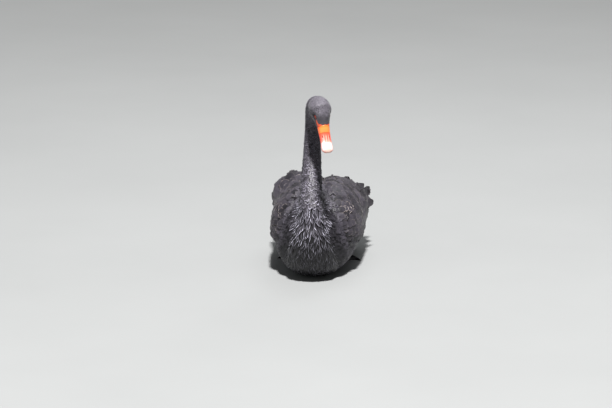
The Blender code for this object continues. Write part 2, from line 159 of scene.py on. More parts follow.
def curve_points(points, steps):
    """A smooth curve through these points, with that many steps in each span."""
    points = np.array(points, float)
    padded = np.vstack((2 * points[0] - points[1], points, 2 * points[-1] - points[-2]))
    share = np.linspace(0, 1, steps, endpoint=False)[:, None]
    spans = []
    for a, b, c, d in zip(padded, padded[1:], padded[2:], padded[3:]):
        square = (2 * a - 5 * b + 4 * c - d) * share**2
        cube = (3 * b - a - 3 * c + d) * share**3
        spans.append(0.5 * (2 * b + (c - a) * share + square + cube))
    return np.vstack((*spans, points[-1:]))


FRONT = np.array((0.0, -1.0, 0.0))
HEAD_LINE = [tuple(BILL_BASE - FORWARD * back) for back in HEAD_BACKS]
SPINE = curve_points(HEAD_LINE + list(NECK_POINTS), SPINE_STEPS)
SPINE_TANGENT = unit(np.gradient(SPINE, axis=0))
SPINE_LENGTH = np.concatenate(((0,), np.cumsum(np.linalg.norm(np.diff(SPINE, axis=0), axis=1))))


def nearest_on_spine(points):
    """The number of the place on the neck's line that each point is nearest to."""
    nearest = np.empty(len(points), int)
    for start in range(0, len(points), 20000):
        chunk = points[start : start + 20000]
        far = np.linalg.norm(chunk[:, None] - SPINE[None], axis=2)
        nearest[start : start + 20000] = far.argmin(axis=1)
    return nearest


def along_spine(points):
    """How far down the neck each point is from the bill, how far out it is, and the way down there.

    What is far out belongs to the body, so it counts as at the neck's lower end.
    """
    nearest = nearest_on_spine(points)
    away = np.linalg.norm(points - SPINE[nearest], axis=1)
    down = SPINE_LENGTH[nearest]
    down = down + (SPINE_LENGTH[-1] - down) * ease(away, *NECK_REACH)
    return down, away, SPINE_TANGENT[nearest]


def head_frame(points):
    """Each point's place ahead of the bill's base, above it and to the head's left."""
    offset = points - BILL_BASE
    return offset @ FORWARD, offset @ CROWN, offset @ HEAD_LEFT


def from_head(ahead, up, out):
    """A place given in the head's frame."""
    return BILL_BASE + FORWARD * ahead + CROWN * up + HEAD_LEFT * out


def numbers_of(items, key, width, kind=np.int32):
    """One property of a mesh's corners, edges, corners of faces or triangles, in rows."""
    values = np.empty(len(items) * width, kind)
    items.foreach_get(key, values)
    return values.reshape(-1, width)


def arrays_of(mesh):
    """A mesh's corners and its triangles."""
    mesh.calc_loop_triangles()
    corners = numbers_of(mesh.vertices, "co", 3, float)
    return corners, numbers_of(mesh.loop_triangles, "vertices", 3)


def corner_normals(corners, triangles):
    """A smooth normal for each corner."""
    a, b, c = (corners[triangles[:, k]] for k in range(3))
    face = np.cross(b - a, c - a)
    total = np.zeros_like(corners)
    for k in range(3):
        np.add.at(total, triangles[:, k], face)
    return unit(total)


class Surface:
    """A closed mesh that feathers are laid on."""

    def __init__(self, corners, triangles):
        self.corners = corners
        self.triangles = triangles
        self.normals = corner_normals(corners, triangles)
        self.tree = BVHTree.FromPolygons(corners.tolist(), triangles.tolist())

    def nearest(self, points):
        """The nearest place on the surface to each point, and the smooth normal there."""
        found = [self.tree.find_nearest(p) for p in points.tolist()]
        places = np.array([f[0][:] for f in found])
        corners = self.triangles[[f[2] for f in found]]
        far = np.linalg.norm(self.corners[corners] - places[:, None], axis=2)
        weight = 1 / (far + 1e-5)
        normals = unit(np.sum(self.normals[corners] * weight[..., None], axis=1))
        return places, normals

    def candidates(self, count, rng, gap):
        """Random places with their normals, more of them where the gap between them is small."""
        a, b, c = (self.corners[self.triangles[:, k]] for k in range(3))
        share = np.linalg.norm(np.cross(b - a, c - a), axis=1)
        share = share / np.mean(gap[self.triangles], axis=1) ** 2
        chosen = rng.choice(len(share), count, p=share / share.sum())
        first, second = np.sqrt(rng.random(count)), rng.random(count)
        shares = np.stack((1 - first, first * (1 - second), first * second), axis=1)[..., None]
        picked = self.triangles[chosen]
        places = np.sum(self.corners[picked] * shares, axis=1)
        return places, unit(np.sum(self.normals[picked] * shares, axis=1))


def spread(places, spacing):
    """Picks places so that no two are closer than the spacing at the first of them."""
    tree = KDTree(len(places))
    for i, place in enumerate(places.tolist()):
        tree.insert(place, i)
    tree.balance()
    free = np.ones(len(places), bool)
    kept = []
    for i, (place, apart) in enumerate(zip(places.tolist(), spacing.tolist())):
        if not free[i]:
            continue
        kept.append(i)
        for _, other, _ in tree.find_range(place, apart):
            free[other] = False
    return np.array(kept)


def object_from(name, mesh, material, slot_name, *nodes):
    """A piece of the swan that rides on its only body and may stand for CAD nodes."""
    mesh.materials.append(material)
    piece = bpy.data.objects.new(name, mesh)
    bpy.context.scene.collection.objects.link(piece)
    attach(piece, "root")
    if nodes:
        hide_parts(*nodes)


def quad_mesh(name, corners, faces):
    """A smooth mesh of four-sided faces."""
    mesh = bpy.data.meshes.new(name)
    mesh.vertices.add(len(corners))
    mesh.vertices.foreach_set("co", np.asarray(corners, np.float32).ravel())
    mesh.loops.add(faces.size)
    mesh.loops.foreach_set("vertex_index", np.asarray(faces, np.int32).ravel())
    mesh.polygons.add(len(faces))
    mesh.polygons.foreach_set("loop_start", np.arange(0, faces.size, faces.shape[1], dtype=np.int32))
    mesh.update(calc_edges=True)
    mesh.shade_smooth()
    return mesh


def add_value(mesh, name, values):
    """Stores a number at each corner of a mesh, for its material."""
    layer = mesh.attributes.new(name, "FLOAT", "POINT")
    layer.data.foreach_set("value", np.asarray(values, np.float32))


def add_map(mesh, name, places):
    """Stores a place on a map for each corner of a mesh."""
    loops = numbers_of(mesh.loops, "vertex_index", 1)[:, 0]
    layer = mesh.uv_layers.new(name=name)
    layer.uv.foreach_set("vector", np.asarray(places, np.float32)[loops].ravel())


# Materials


class Nodes:
    """A material and the short calls that fill it."""

    def __init__(self, name):
        self.material = bpy.data.materials.new(name)
        self.material.use_nodes = True
        self.tree = self.material.node_tree
        self.shader = self.tree.nodes["Principled BSDF"]

    def link(self, source, target):
        self.tree.links.new(source, target)

    def put(self, socket, value):
        """Sets a socket to a number, a colour, or another socket's output."""
        if isinstance(value, bpy.types.NodeSocket):
            self.link(value, socket)
        elif isinstance(value, tuple) and len(value) == 3 and socket.type == "RGBA":
            socket.default_value = (*value, 1)
        else:
            socket.default_value = value

    def add(self, kind, inputs, output, **settings):
        """A new node's output, with the node's settings and inputs filled in."""
        node = self.tree.nodes.new("ShaderNode" + kind)
        for key, value in settings.items():
            setattr(node, key, value)
        for key, value in inputs.items():
            self.put(node.inputs[key], value)
        return node.outputs[output]

    def math(self, operation, a, b=0.0, clamp=False):
        return self.add("Math", {0: a, 1: b}, 0, operation=operation, use_clamp=clamp)

    def times(self, a, b, clamp=False):
        return self.math("MULTIPLY", a, b, clamp)

    def plus(self, a, b):
        return self.math("ADD", a, b)

    def minus(self, a, b):
        return self.math("SUBTRACT", a, b)

    def ease(self, value, low, high, start=0.0, end=1.0):
        """start below low, end above high, and smooth between them."""
        inputs = {"Value": value, "From Min": low, "From Max": high, "To Min": start, "To Max": end}
        return self.add("MapRange", inputs, "Result", interpolation_type="SMOOTHSTEP")

    def mix(self, share, a, b):
        """Colour a where the share is 0, and b where it is 1."""
        return self.add("Mix", {"Factor": share, "A": a, "B": b}, "Result", data_type="RGBA")

    def ramp(self, value, stops):
        node = self.tree.nodes.new("ShaderNodeValToRGB")
        line = node.color_ramp
        while len(line.elements) < len(stops):
            line.elements.new(0.5)
        for element, (place, colour) in zip(line.elements, stops):
            element.position = place
            element.color = (*colour, 1)
        self.put(node.inputs["Fac"], value)
        return node.outputs["Color"]

    def attribute(self, name):
        return self.add("Attribute", {}, "Fac", attribute_name=name)

    def map_place(self, name):
        """The two numbers of a named map."""
        place = self.add("UVMap", {}, "UV", uv_map=name)
        split = self.tree.nodes.new("ShaderNodeSeparateXYZ")
        self.link(place, split.inputs[0])
        return split.outputs["X"], split.outputs["Y"]

    def place(self):
        return self.add("TexCoord", {}, "Object")

    def noise(self, scale, detail):
        """Smooth noise on the object's own space."""
        inputs = {"Vector": self.place(), "Scale": scale, "Detail": detail, "Roughness": 0.55}
        return self.add("TexNoise", inputs, "Fac")

    def cells(self, scale):
        """How far each place is from the middle of its cell, for small scales and pits."""
        return self.add("TexVoronoi", {"Vector": self.place(), "Scale": scale}, "Distance")

    def bump(self, height, strength, distance):
        inputs = {"Strength": strength, "Distance": distance, "Height": height}
        self.link(self.add("Bump", inputs, "Normal"), self.shader.inputs["Normal"])

    def finish(self, colour, roughness, **others):
        self.put(self.shader.inputs["Base Color"], colour)
        self.put(self.shader.inputs["Roughness"], roughness)
        for name, value in others.items():
            self.put(self.shader.inputs[name.replace("_", " ")], value)
        return self.material


def dimmed(colour, share):
    """A share of a colour."""
    return tuple(c * share for c in colour)


def feather_material(name, dark, warm, pale, rim_start, rim_strength, barbs, sheen=0.06,
                     roughness=0.45, tip=1.0):
    """Vanes with a shaft, barbs and a paler rim.

    rim_start is how far out from the shaft the rim begins, rim_strength how pale it gets, and tip
    how much of that the feather's end gets. barbs is how many lines run across the vane.
    """
    nodes = Nodes(name)
    across, along = nodes.map_place("vane")
    side = nodes.math("ABSOLUTE", nodes.minus(nodes.times(across, 2.0), 1.0))
    tone = nodes.attribute("tone")
    pallor = nodes.attribute("pallor")
    base = nodes.mix(tone, dark, warm)
    cloud = nodes.noise(38.0, 4.0)
    base = nodes.mix(nodes.ease(cloud, 0.35, 0.7, 0.0, 0.5), base, warm)
    base = nodes.mix(nodes.ease(along, 0.0, 0.7, 0.8, 0.0), base, dimmed(dark, 0.3))
    # Painted shade: the colour goes darker where the lit value is below 1
    base = nodes.mix(nodes.attribute("lit"), dimmed(dark, 0.35), base)
    rim = nodes.math("MAXIMUM", side, nodes.times(nodes.math("POWER", along, 2.0), tip))
    broken = nodes.noise(420.0, 3.0)
    rim = nodes.plus(rim, nodes.times(nodes.minus(broken, 0.5), 0.16))
    rim = nodes.ease(rim, rim_start, 1.0)
    fade = nodes.times(rim, nodes.ease(along, 0.30, 0.85))
    fade = nodes.times(fade, nodes.times(pallor, rim_strength), clamp=True)
    colour = nodes.mix(fade, base, pale)
    slant = nodes.times(side, barbs * 0.28)
    slant = nodes.minus(nodes.times(along, barbs), slant)
    barb = nodes.math("SINE", nodes.times(slant, 2 * math.pi))
    shaft = nodes.ease(side, 0.10, 0.0)
    colour = nodes.mix(nodes.times(shaft, 0.35), colour, dimmed(dark, 0.5))
    nodes.bump(nodes.plus(nodes.times(barb, 0.2), shaft), 0.45, 0.0003)
    return nodes.finish(
        colour, nodes.ease(tone, 0.0, 1.0, roughness - 0.06, roughness + 0.1),
        Sheen_Weight=sheen, Sheen_Roughness=0.4, Specular_IOR_Level=0.38,
    )


def skin_material():
    """Black skin and down, with bare red skin between the bill and the eye."""
    nodes = Nodes("skin")
    bare = nodes.attribute("bare")
    cloud = nodes.noise(160.0, 4.0)
    down = nodes.mix(cloud, (0.006, 0.0055, 0.006), (0.022, 0.019, 0.020))
    red = nodes.mix(nodes.noise(420.0, 3.0), (0.42, 0.035, 0.018), (0.70, 0.13, 0.05))
    colour = nodes.mix(nodes.ease(bare, 0.35, 0.65), down, red)
    nodes.bump(nodes.plus(nodes.cells(1400.0), cloud), 0.35, 0.0005)
    return nodes.finish(colour, nodes.ease(bare, 0.0, 1.0, 0.8, 0.42), Specular_IOR_Level=0.35)


# The bill's colours from the feathers to the nail
BILL_COLOURS = (
    (0.00, (0.80, 0.150, 0.024)),
    (0.10, (0.86, 0.250, 0.050)),
    (0.235, (0.84, 0.210, 0.050)),
    (0.265, (0.66, 0.060, 0.016)),
    (0.30, (0.76, 0.100, 0.055)),
    (0.50, (0.76, 0.120, 0.085)),
    (0.60, (0.78, 0.230, 0.180)),
    (0.645, (0.62, 0.53, 0.49)),
    (0.88, (0.64, 0.58, 0.55)),
    (0.94, (0.60, 0.40, 0.35)),
    (1.00, (0.56, 0.24, 0.19)),
)


def bill_material():
    """Orange-red horn with pale streaks of painted highlight, deeper at the sides, and a white band near
    the end.
    """
    nodes = Nodes("bill_horn")
    share = nodes.attribute("share")
    wander = nodes.times(nodes.minus(nodes.noise(120.0, 2.0), 0.5), 0.05)
    share = nodes.plus(share, wander)
    colour = nodes.ramp(share, BILL_COLOURS)
    aside = nodes.attribute("aside")
    across = nodes.plus(aside, nodes.times(wander, 2.0))
    # Pale streaks along the middle of the bill: painted highlights
    streaks = nodes.math("COSINE", nodes.times(across, 15.0))
    streaks = nodes.times(nodes.ease(streaks, 0.2, 1.0), nodes.ease(share, 0.30, 0.42))
    streaks = nodes.times(streaks, nodes.ease(aside, 0.82, 0.70))
    colour = nodes.mix(nodes.times(streaks, 0.75), colour, (0.80, 0.46, 0.36))
    colour = nodes.mix(nodes.times(nodes.attribute("low"), 0.55), colour, (0.62, 0.030, 0.022))
    colour = nodes.mix(nodes.times(nodes.attribute("nail"), 0.75), colour, (0.60, 0.45, 0.38))
    # The nostrils painted near black: painted shade inside their openings
    colour = nodes.mix(nodes.attribute("dark"), colour, (0.05, 0.008, 0.006))
    fine = nodes.noise(900.0, 4.0)
    colour = nodes.mix(nodes.ease(fine, 0.4, 0.75, 0.0, 0.22), colour, (0.55, 0.05, 0.03))
    nodes.bump(nodes.plus(fine, nodes.noise(240.0, 3.0)), 0.22, 0.0004)
    return nodes.finish(
        colour, nodes.ease(fine, 0.3, 0.7, 0.28, 0.42), Coat_Weight=0.25, Coat_Roughness=0.25
    )


# The eye's colours from the middle of the pupil out
EYE_COLOURS = (
    (0.0, (0.004, 0.003, 0.003)),
    (0.30, (0.004, 0.003, 0.003)),
    (0.34, (0.30, 0.020, 0.010)),
    (0.52, (0.52, 0.040, 0.016)),
    (0.68, (0.26, 0.015, 0.010)),
    (0.74, (0.02, 0.008, 0.008)),
    (1.0, (0.02, 0.010, 0.010)),
)


def eye_material():
    """A dark pupil, a red iris and a wet surface."""
    nodes = Nodes("eyeball")
    colour = nodes.ramp(nodes.attribute("out"), EYE_COLOURS)
    fleck = nodes.noise(1500.0, 3.0)
    colour = nodes.mix(nodes.ease(fleck, 0.4, 0.7, 0.0, 0.3), colour, (0.10, 0.006, 0.005))
    return nodes.finish(colour, 0.18, Coat_Weight=0.35, Coat_Roughness=0.04, Specular_IOR_Level=0.3)


def lid_material():
    """Bare skin of the eyelids: reddish at the rim, black outside it, and finely wrinkled."""
    nodes = Nodes("eyelid")
    cloud = nodes.noise(900.0, 4.0)
    red = nodes.mix(cloud, (0.06, 0.010, 0.009), (0.17, 0.026, 0.020))
    black = nodes.mix(cloud, (0.010, 0.009, 0.010), (0.034, 0.028, 0.030))
    colour = nodes.mix(nodes.ease(nodes.attribute("rim"), 0.2, 0.9), black, red)
    nodes.bump(cloud, 0.4, 0.0003)
    return nodes.finish(colour, 0.45)


def foot_material():
    """Dark grey skin: broad scales across the toes, and fine ones over the web and the leg."""
    nodes = Nodes("foot_skin")
    scales = nodes.cells(620.0)
    cloud = nodes.noise(90.0, 4.0)
    toe = nodes.attribute("toe")
    turns = nodes.times(nodes.attribute("reach"), 2 * math.pi / TOE_SCALE)
    scutes = nodes.ease(nodes.math("SINE", turns), -1.0, -0.55)
    relief = nodes.plus(nodes.minus(1.0, scales), nodes.times(toe, scutes))
    colour = nodes.mix(cloud, (0.016, 0.015, 0.016), (0.060, 0.054, 0.053))
    colour = nodes.mix(nodes.ease(scales, 0.25, 0.6, 0.0, 0.6), colour, (0.008, 0.008, 0.009))
    seams = nodes.times(toe, nodes.minus(1.0, scutes))
    colour = nodes.mix(nodes.times(seams, 0.7), colour, (0.007, 0.007, 0.008))
    nodes.bump(relief, 0.6, 0.0008)
    return nodes.finish(colour, nodes.ease(cloud, 0.3, 0.7, 0.42, 0.6))


def claw_material():
    """Black horn, a little paler towards the tip."""
    nodes = Nodes("claw_horn")
    grain = nodes.noise(700.0, 4.0)
    colour = nodes.mix(grain, (0.010, 0.009, 0.009), (0.034, 0.029, 0.027))
    colour = nodes.mix(nodes.ease(nodes.attribute("share"), 0.5, 1.0, 0.0, 0.6), colour,
                       (0.075, 0.062, 0.052))
    nodes.bump(grain, 0.25, 0.0003)
    return nodes.finish(colour, nodes.ease(grain, 0.3, 0.7, 0.26, 0.40))


def floor_material():
    """A pale matt studio floor, very faintly uneven."""
    nodes = Nodes("studio_floor")
    cloud = nodes.noise(1.6, 3.0)
    colour = nodes.mix(cloud, (0.265, 0.272, 0.268), (0.295, 0.302, 0.298))
    return nodes.finish(colour, 0.75)


# The skin


def welded(name, grow):
    """A CAD node's corners and triangles with its doubled corners joined, pushed out a little."""
    corners, triangles = arrays_of(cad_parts[name].data)
    keys, where = np.unique(np.round(corners, 6), axis=0, return_inverse=True)
    where = where.ravel()
    triangles = where[triangles]
    normals = corner_normals(keys, triangles)
    return keys + normals * grow, triangles


def joined(names, grow=0.0):
    """Several CAD nodes as one set of corners and triangles, and the node that each triangle is from."""
    corners, triangles, owner, start = [], [], [], 0
    for index, name in enumerate(names):
        points, faces = welded(name, grow)
        corners.append(points)
        triangles.append(faces + start)
        owner.append(np.full(len(faces), index))
        start += len(points)
    return np.vstack(corners), np.vstack(triangles), np.concatenate(owner)


def remeshed(corners, triangles, voxel):
    """One closed surface round these solids, as a mesh."""
    rough = bpy.data.objects.new("rough", quad_mesh("rough", corners, triangles))
    bpy.context.scene.collection.objects.link(rough)
    step = rough.modifiers.new("remesh", "REMESH")
    step.mode = "VOXEL"
    step.voxel_size = voxel
    seen = rough.evaluated_get(bpy.context.evaluated_depsgraph_get())
    mesh = bpy.data.meshes.new_from_object(seen)
    bpy.data.objects.remove(rough)
    return mesh


def quads_of(mesh):
    """A mesh's faces, which all have four corners."""
    return numbers_of(mesh.loops, "vertex_index", 1).reshape(-1, 4)


def neighbours(mesh):
    """Each edge's two corners, both ways round."""
    edges = numbers_of(mesh.edges, "vertices", 2)
    return np.vstack((edges, edges[:, ::-1]))


def smoothed(corners, pairs, rounds):
    """Corners eased towards the mean of their neighbours, and back out so as not to shrink."""
    count = np.bincount(pairs[:, 0], minlength=len(corners))[:, None]
    for turn in range(2 * rounds):
        total = np.zeros_like(corners)
        np.add.at(total, pairs[:, 0], corners[pairs[:, 1]])
        step = 0.5 if turn % 2 == 0 else -0.52
        corners = corners + (total / np.maximum(count, 1) - corners) * step
    return corners


def biggest_island(corners, faces):
    """The corners and faces of the largest connected part."""
    label = np.arange(len(corners))
    while True:
        low = label[faces].min(axis=1)
        before = label.copy()
        for k in range(faces.shape[1]):
            np.minimum.at(label, faces[:, k], low)
        label = label[label]
        if np.array_equal(before, label):
            break
    ids, sizes = np.unique(label[faces[:, 0]], return_counts=True)
    keep = label[faces[:, 0]] == ids[sizes.argmax()]
    used, where = np.unique(faces[keep], return_inverse=True)
    return corners[used], where.reshape(-1, faces.shape[1])


def body_share(down, away, start):
    """0 on the neck and head, 1 on the body, which begins that far down the neck."""
    body = ease(down, start, 0.47)
    return np.maximum(body, ease(away, 0.055, 0.085) * ease(down, 0.30, 0.36))


def coat_depth(points, furrows=True):
    """How thick the coat of feathers is there. The skin lies deeper in the furrows beside the bib."""
    down, away, _ = along_spine(points)
    # Thinnest at the bill, thicker down the neck, and thickest on the body
    depth = HEAD_DEPTH + (NECK_DEPTH - HEAD_DEPTH) * ease(down, 0.045, 0.13)
    depth = depth * (0.45 + 0.55 * ease(down, 0.0, 0.03))
    depth = depth + (BODY_DEPTH - depth) * body_share(down, away, 0.36)
    front = bib(points)
    depth = depth + (BIB_DEPTH - depth) * front * (depth > BIB_DEPTH)
    return depth + FURROW_DEPTH * valley(points) * (1 - front) * furrows


def thin_limit(surface, depth):
    """Less depth where the opposite side is near, so that thin parts stay whole."""
    limited = depth.copy()
    starts = surface.corners - surface.normals * 1e-4
    for i, (start, way) in enumerate(zip(starts.tolist(), (-surface.normals).tolist())):
        hit = surface.tree.ray_cast(start, way, 0.03)
        if hit[3] is not None:
            limited[i] = min(depth[i], 0.36 * hit[3])
    return limited


def bare_face(points):
    """1 on the bare skin between the bill and the eye, on both sides of the face."""
    ahead, up, out = head_frame(points)
    # A strip that rises and narrows from the bill to the eye, where painted shade makes it fainter
    share = np.clip(-ahead / EYE_BACK, 0, 1)
    middle = 0.0005 + EYE_UP * share
    half = 0.0078 - 0.0066 * share**0.6
    inside = ease(np.abs(up - middle), half + 0.0010, half - 0.0010)
    inside = inside * ease(-ahead, EYE_BACK + 0.004, EYE_BACK - 0.002)
    inside = inside * ease(np.abs(out), 0.006, 0.010)
    # Painted shade: the bare skin reaches the eye, but fades to dark near it
    inside = inside * (1 - 0.58 * ease(share, 0.40, 0.85))
    # The edge of the bill's base, wider towards the sides
    corner = ease(-ahead, 0.0020 + 0.0075 * ease(np.abs(out), 0.006, 0.0155), 0.0010)
    return np.maximum(inside, corner * ease(np.abs(out), 0.006, 0.009) * (up > -0.004))


# The half width of the column of long breast feathers at these heights, how soft its sides are,
# and where it ends behind; how far past its sides the furrow's middle is, and its half width
BIB_HEIGHTS = (0.02, 0.090, 0.120, 0.147, 0.194, 0.245)
BIB_HALVES = (0.074, 0.066, 0.057, 0.047, 0.037, 0.031)
BIB_SOFT = 0.007
BIB_BACK = (-0.17, -0.21)
FURROW_ASIDE = 0.008
FURROW_HALF = 0.013
FURROW_DEPTH = 0.0045


def bib(points):
    """1 on the column of long breast feathers that carries the neck down to the waterline."""
    x, y, z = points.T
    half = np.interp(z, BIB_HEIGHTS, BIB_HALVES)
    inside = ease(np.abs(x), half + BIB_SOFT, half - BIB_SOFT)
    return inside * ease(y, *BIB_BACK) * ease(z, 0.30, 0.24)


def valley(points):
    """1 in the furrows on both sides of the bib."""
    x, y, z = points.T
    middle = np.interp(z, BIB_HEIGHTS, BIB_HALVES) + FURROW_ASIDE
    near = ease(np.abs(np.abs(x) - middle), FURROW_HALF, 0.0)
    return near * ease(y, *BIB_BACK) * ease(z, 0.235, 0.18)


def eye_parts():
    """Each eye's side, middle, the way it looks, and the ways across and up."""
    for side, sign in SIDES:
        axis = unit(HEAD_LEFT * sign * 0.93 + FORWARD * 0.30 + CROWN * 0.16)
        across = unit(np.cross(axis, CROWN))
        centre = from_head(-EYE_BACK, EYE_UP, EYE_OUT * sign) - axis * EYE_SUNK
        yield side, centre, axis, across, np.cross(across, axis)


def with_orbits(points):
    """Raises the skin round the eyes, so that they sit in the head."""
    for _, centre, axis, across, up in eye_parts():
        offset = points - centre
        height = offset @ axis
        brow = np.clip(offset @ up, 0, None)
        aside = np.hypot(offset @ across * 0.80, offset @ up)
        # A soft mound, a little higher under the brow, that falls away round the eye
        mound = 0.0052 + 0.06 * brow - 28.0 * aside**2
        near = (aside < 0.024) & (height > -0.006)
        gain = 0.0012 * np.logaddexp(0, (mound - height) / 0.0012)
        gain = np.where(near, gain * ease(aside, 0.022, 0.014), 0)
        points = points + axis * gain[:, None]
    return points


def tucked_into_bill(points):
    """Draws what is ahead of the bill's base together, so that the face ends inside the horn."""
    ahead, up, out = head_frame(points)
    beyond = np.clip(ahead + 0.0002, 0, None)
    near = np.linalg.norm(points - BILL_BASE, axis=1) < 0.11
    narrow = np.where(near, 1 - 0.55 * ease(beyond, 0.0, 0.010), 1)
    shorter = np.where(near, ahead - beyond + 0.008 * (1 - np.exp(-beyond / 0.010)), ahead)
    return from_head(shorter[:, None], (up * narrow)[:, None], (out * narrow)[:, None])


def make_skin():
    """The skin under the coat. Gives back the surface that feathers grow on."""
    corners, triangles, _ = joined((*FLESH, "bill_upper", "bill_lower"), SKIN_GROW)
    mesh = remeshed(corners, triangles, SKIN_VOXEL)
    points, _ = arrays_of(mesh)
    points = smoothed(points, neighbours(mesh), 6)
    points, faces = biggest_island(points, quads_of(mesh))
    halves = np.vstack((faces[:, (0, 1, 2)], faces[:, (0, 2, 3)]))
    outer = Surface(points, halves)
    depth = thin_limit(outer, coat_depth(points) + SKIN_GROW)
    inner = points - outer.normals * depth[:, None]
    mesh = quad_mesh("skin", inner, faces)
    inner = tucked_into_bill(with_orbits(smoothed(inner, neighbours(mesh), 3)))
    inner[:, 2] = np.maximum(inner[:, 2], SKIN_OFF_FLOOR)
    mesh = quad_mesh("skin", inner, faces)
    add_value(mesh, "bare", bare_face(inner))
    object_from("skin", mesh, skin_material(), "plumage_black", *FLESH)
    return Surface(inner, halves)


# Feathers


# The side of a feather's patch on the map, and how far the coat may pass the CAD's box
PATCH = 0.003
PROUD = 0.012
# Feathers are kept this far off the floor, and the skin under them a little further
COAT_OFF_FLOOR = 0.0004
SKIN_OFF_FLOOR = 0.0015
# The height of the line inside the body that angles round it are measured from
BODY_AXIS_Z = 0.105
# How many roots are tried, how far feathers keep from an eye's axis, and how long the bib's are
# and how far apart
CANDIDATES = 160000
EYE_CLEARANCE = 0.0056
BIB_LENGTH = 0.037
BIB_GAP = 0.0078
OWNER_CORNERS, OWNER_FACES, OWNER = joined(FLESH)
OWNER_TREE = BVHTree.FromPolygons(OWNER_CORNERS.tolist(), OWNER_FACES.tolist())
WING_NUMBERS = [FLESH.index(name) for name in WING_NODES]
TAIL_NUMBER = FLESH.index("tail")


def nearest_node(points):
    """The number in FLESH of the CAD node that each point is nearest to."""
    found = [OWNER_TREE.find_nearest(p)[2] for p in points.tolist()]
    return OWNER[np.array(found)]


def flow(points, normals):
    """The way the feathers lie: down the neck from the bill, then back over the body to the tail."""
    down, away, tangent = along_spine(points)
    neck = ease(down, 0.50, 0.36) * ease(away, 0.105, 0.06)
    neck = np.maximum(neck, ease(down, 0.36, 0.30))
    # Over the breast they point down and outward, and behind it straight back
    x, y, z = points.T
    front = ease(y, -0.17, -0.285) * (1 - 0.45 * ease(np.abs(x), 0.04, 0.09))
    high = ease(z, 0.14, 0.20)
    outward = x * (2.2 * front + 0.5 * high)
    backward = 1.0 - 0.80 * front
    upward = -0.10 - 0.95 * front * (1 - 0.3 * high) - 0.12 * high
    back = unit(np.stack((outward, backward, upward), axis=1))
    way = back * (1 - neck)[:, None] + tangent * neck[:, None]
    way = way - normals * dot(way, normals)[:, None]
    return unit(way)


class Style:
    """What a kind of feather looks like.

    The outline says how wide it is at shares of its length. Camber is how far its sides droop,
    and ruffle how far they wave, as shares of its width; waves is how many waves it has. Curl is
    how far the tip bends up, as a share of its length, and twist how far it turns over, in
    radians. Thickness is in metres. Stiff feathers follow the body less.
    """

    def __init__(self, columns, rows, outline, camber, thickness, ruffle=0.0, waves=2.0, curl=0.0,
                 twist=0.0, stiff=0.6):
        self.across = np.linspace(-1, 1, columns)
        self.along = np.array(rows, float)
        self.width = np.interp(self.along, *zip(*outline))
        self.camber = camber
        self.thickness = thickness
        self.ruffle = ruffle
        self.waves = waves
        self.curl = curl
        self.twist = twist
        self.stiff = stiff


# Of every feather: how much of its rise it has at the root, and how far the sides of its tip are
# drawn back, as a share of its length
ROOT_RISE = 0.15
ROUNDING = 0.05

# Outlines: a share of the length, and the share of the full width there
ROUND = ((0, 0.35), (0.25, 0.85), (0.55, 1.0), (0.78, 0.97), (0.90, 0.80), (0.97, 0.52), (1, 0.30))
LONG = ((0, 0.22), (0.15, 0.66), (0.45, 1.0), (0.78, 0.97), (0.90, 0.80), (0.97, 0.52), (1, 0.26))
BLADE = ((0, 0.30), (0.2, 0.8), (0.6, 1.0), (0.85, 0.88), (0.95, 0.60), (1, 0.22))
STRAND = ((0, 0.40), (0.2, 0.85), (0.5, 1.0), (0.75, 0.80), (0.90, 0.48), (1, 0.16))

SHORT_ROWS = (0, 0.35, 0.68, 0.90, 1.0)
HEAD_STYLE = Style(3, (0, 0.45, 0.82, 1.0), ROUND, camber=0.12, thickness=0.00015)
NECK_STYLE = Style(3, SHORT_ROWS, ROUND, camber=0.15, thickness=0.0002, ruffle=0.04, waves=1.2,
                   curl=0.03, twist=0.16)
COLLAR_STYLE = Style(5, SHORT_ROWS, ROUND, camber=0.14, thickness=0.0003, ruffle=0.06, waves=1.4,
                     curl=0.05, twist=0.22)
BIB_STYLE = Style(7, (0, 0.18, 0.34, 0.48, 0.61, 0.73, 0.84, 0.93, 1.0), STRAND, camber=0.42,
                  thickness=0.0004, ruffle=0.10, waves=1.3, curl=0.07, twist=0.45, stiff=0.75)
FLANK_STYLE = Style(5, (0, 0.28, 0.55, 0.78, 0.93, 1.0), ROUND, camber=0.10, thickness=0.0003,
                    ruffle=0.05, waves=1.3, curl=0.03, twist=0.2)
BELLY_STYLE = Style(5, SHORT_ROWS, ROUND, camber=0.08, thickness=0.0004)
COVERT_STYLE = Style(7, (0, 0.2, 0.4, 0.58, 0.73, 0.85, 0.93, 0.98, 1.0), ROUND, camber=0.07,
                     thickness=0.0004, ruffle=0.03, waves=1.1, curl=0.02, twist=0.10)
PLUME_STYLE = Style(9, (*np.linspace(0, 0.82, 18), 0.87, 0.91, 0.95, 0.98, 1.0), LONG,
                    camber=0.12, thickness=0.0005, ruffle=0.11, waves=2.7, curl=0.10, twist=0.20,
                    stiff=0.80)
SMOOTH_STYLE = Style(9, (*np.linspace(0, 0.80, 11), 0.87, 0.93, 0.975, 1.0), LONG, camber=0.10,
                     thickness=0.0005, ruffle=0.03, waves=1.6, curl=0.01, twist=0.10, stiff=0.7)
BLADE_STYLE = Style(7, (*np.linspace(0, 0.84, 10), 0.90, 0.95, 0.98, 1.0), BLADE, camber=0.05,
                    thickness=0.0005, stiff=1.0)


def vane_faces(columns, rows):
    """The faces of one closed vane: its upper side, then its underside, which share their rim."""
    top = np.arange(rows * columns).reshape(rows, columns)
    under = top.copy()
    inner = np.arange((rows - 2) * (columns - 2)).reshape(rows - 2, columns - 2)
    under[1:-1, 1:-1] = inner + rows * columns
    upper = np.stack((top[:-1, :-1], top[:-1, 1:], top[1:, 1:], top[1:, :-1]), axis=-1)
    lower = np.stack((under[:-1, :-1], under[1:, :-1], under[1:, 1:], under[:-1, 1:]), axis=-1)
    return np.vstack((upper.reshape(-1, 4), lower.reshape(-1, 4)))


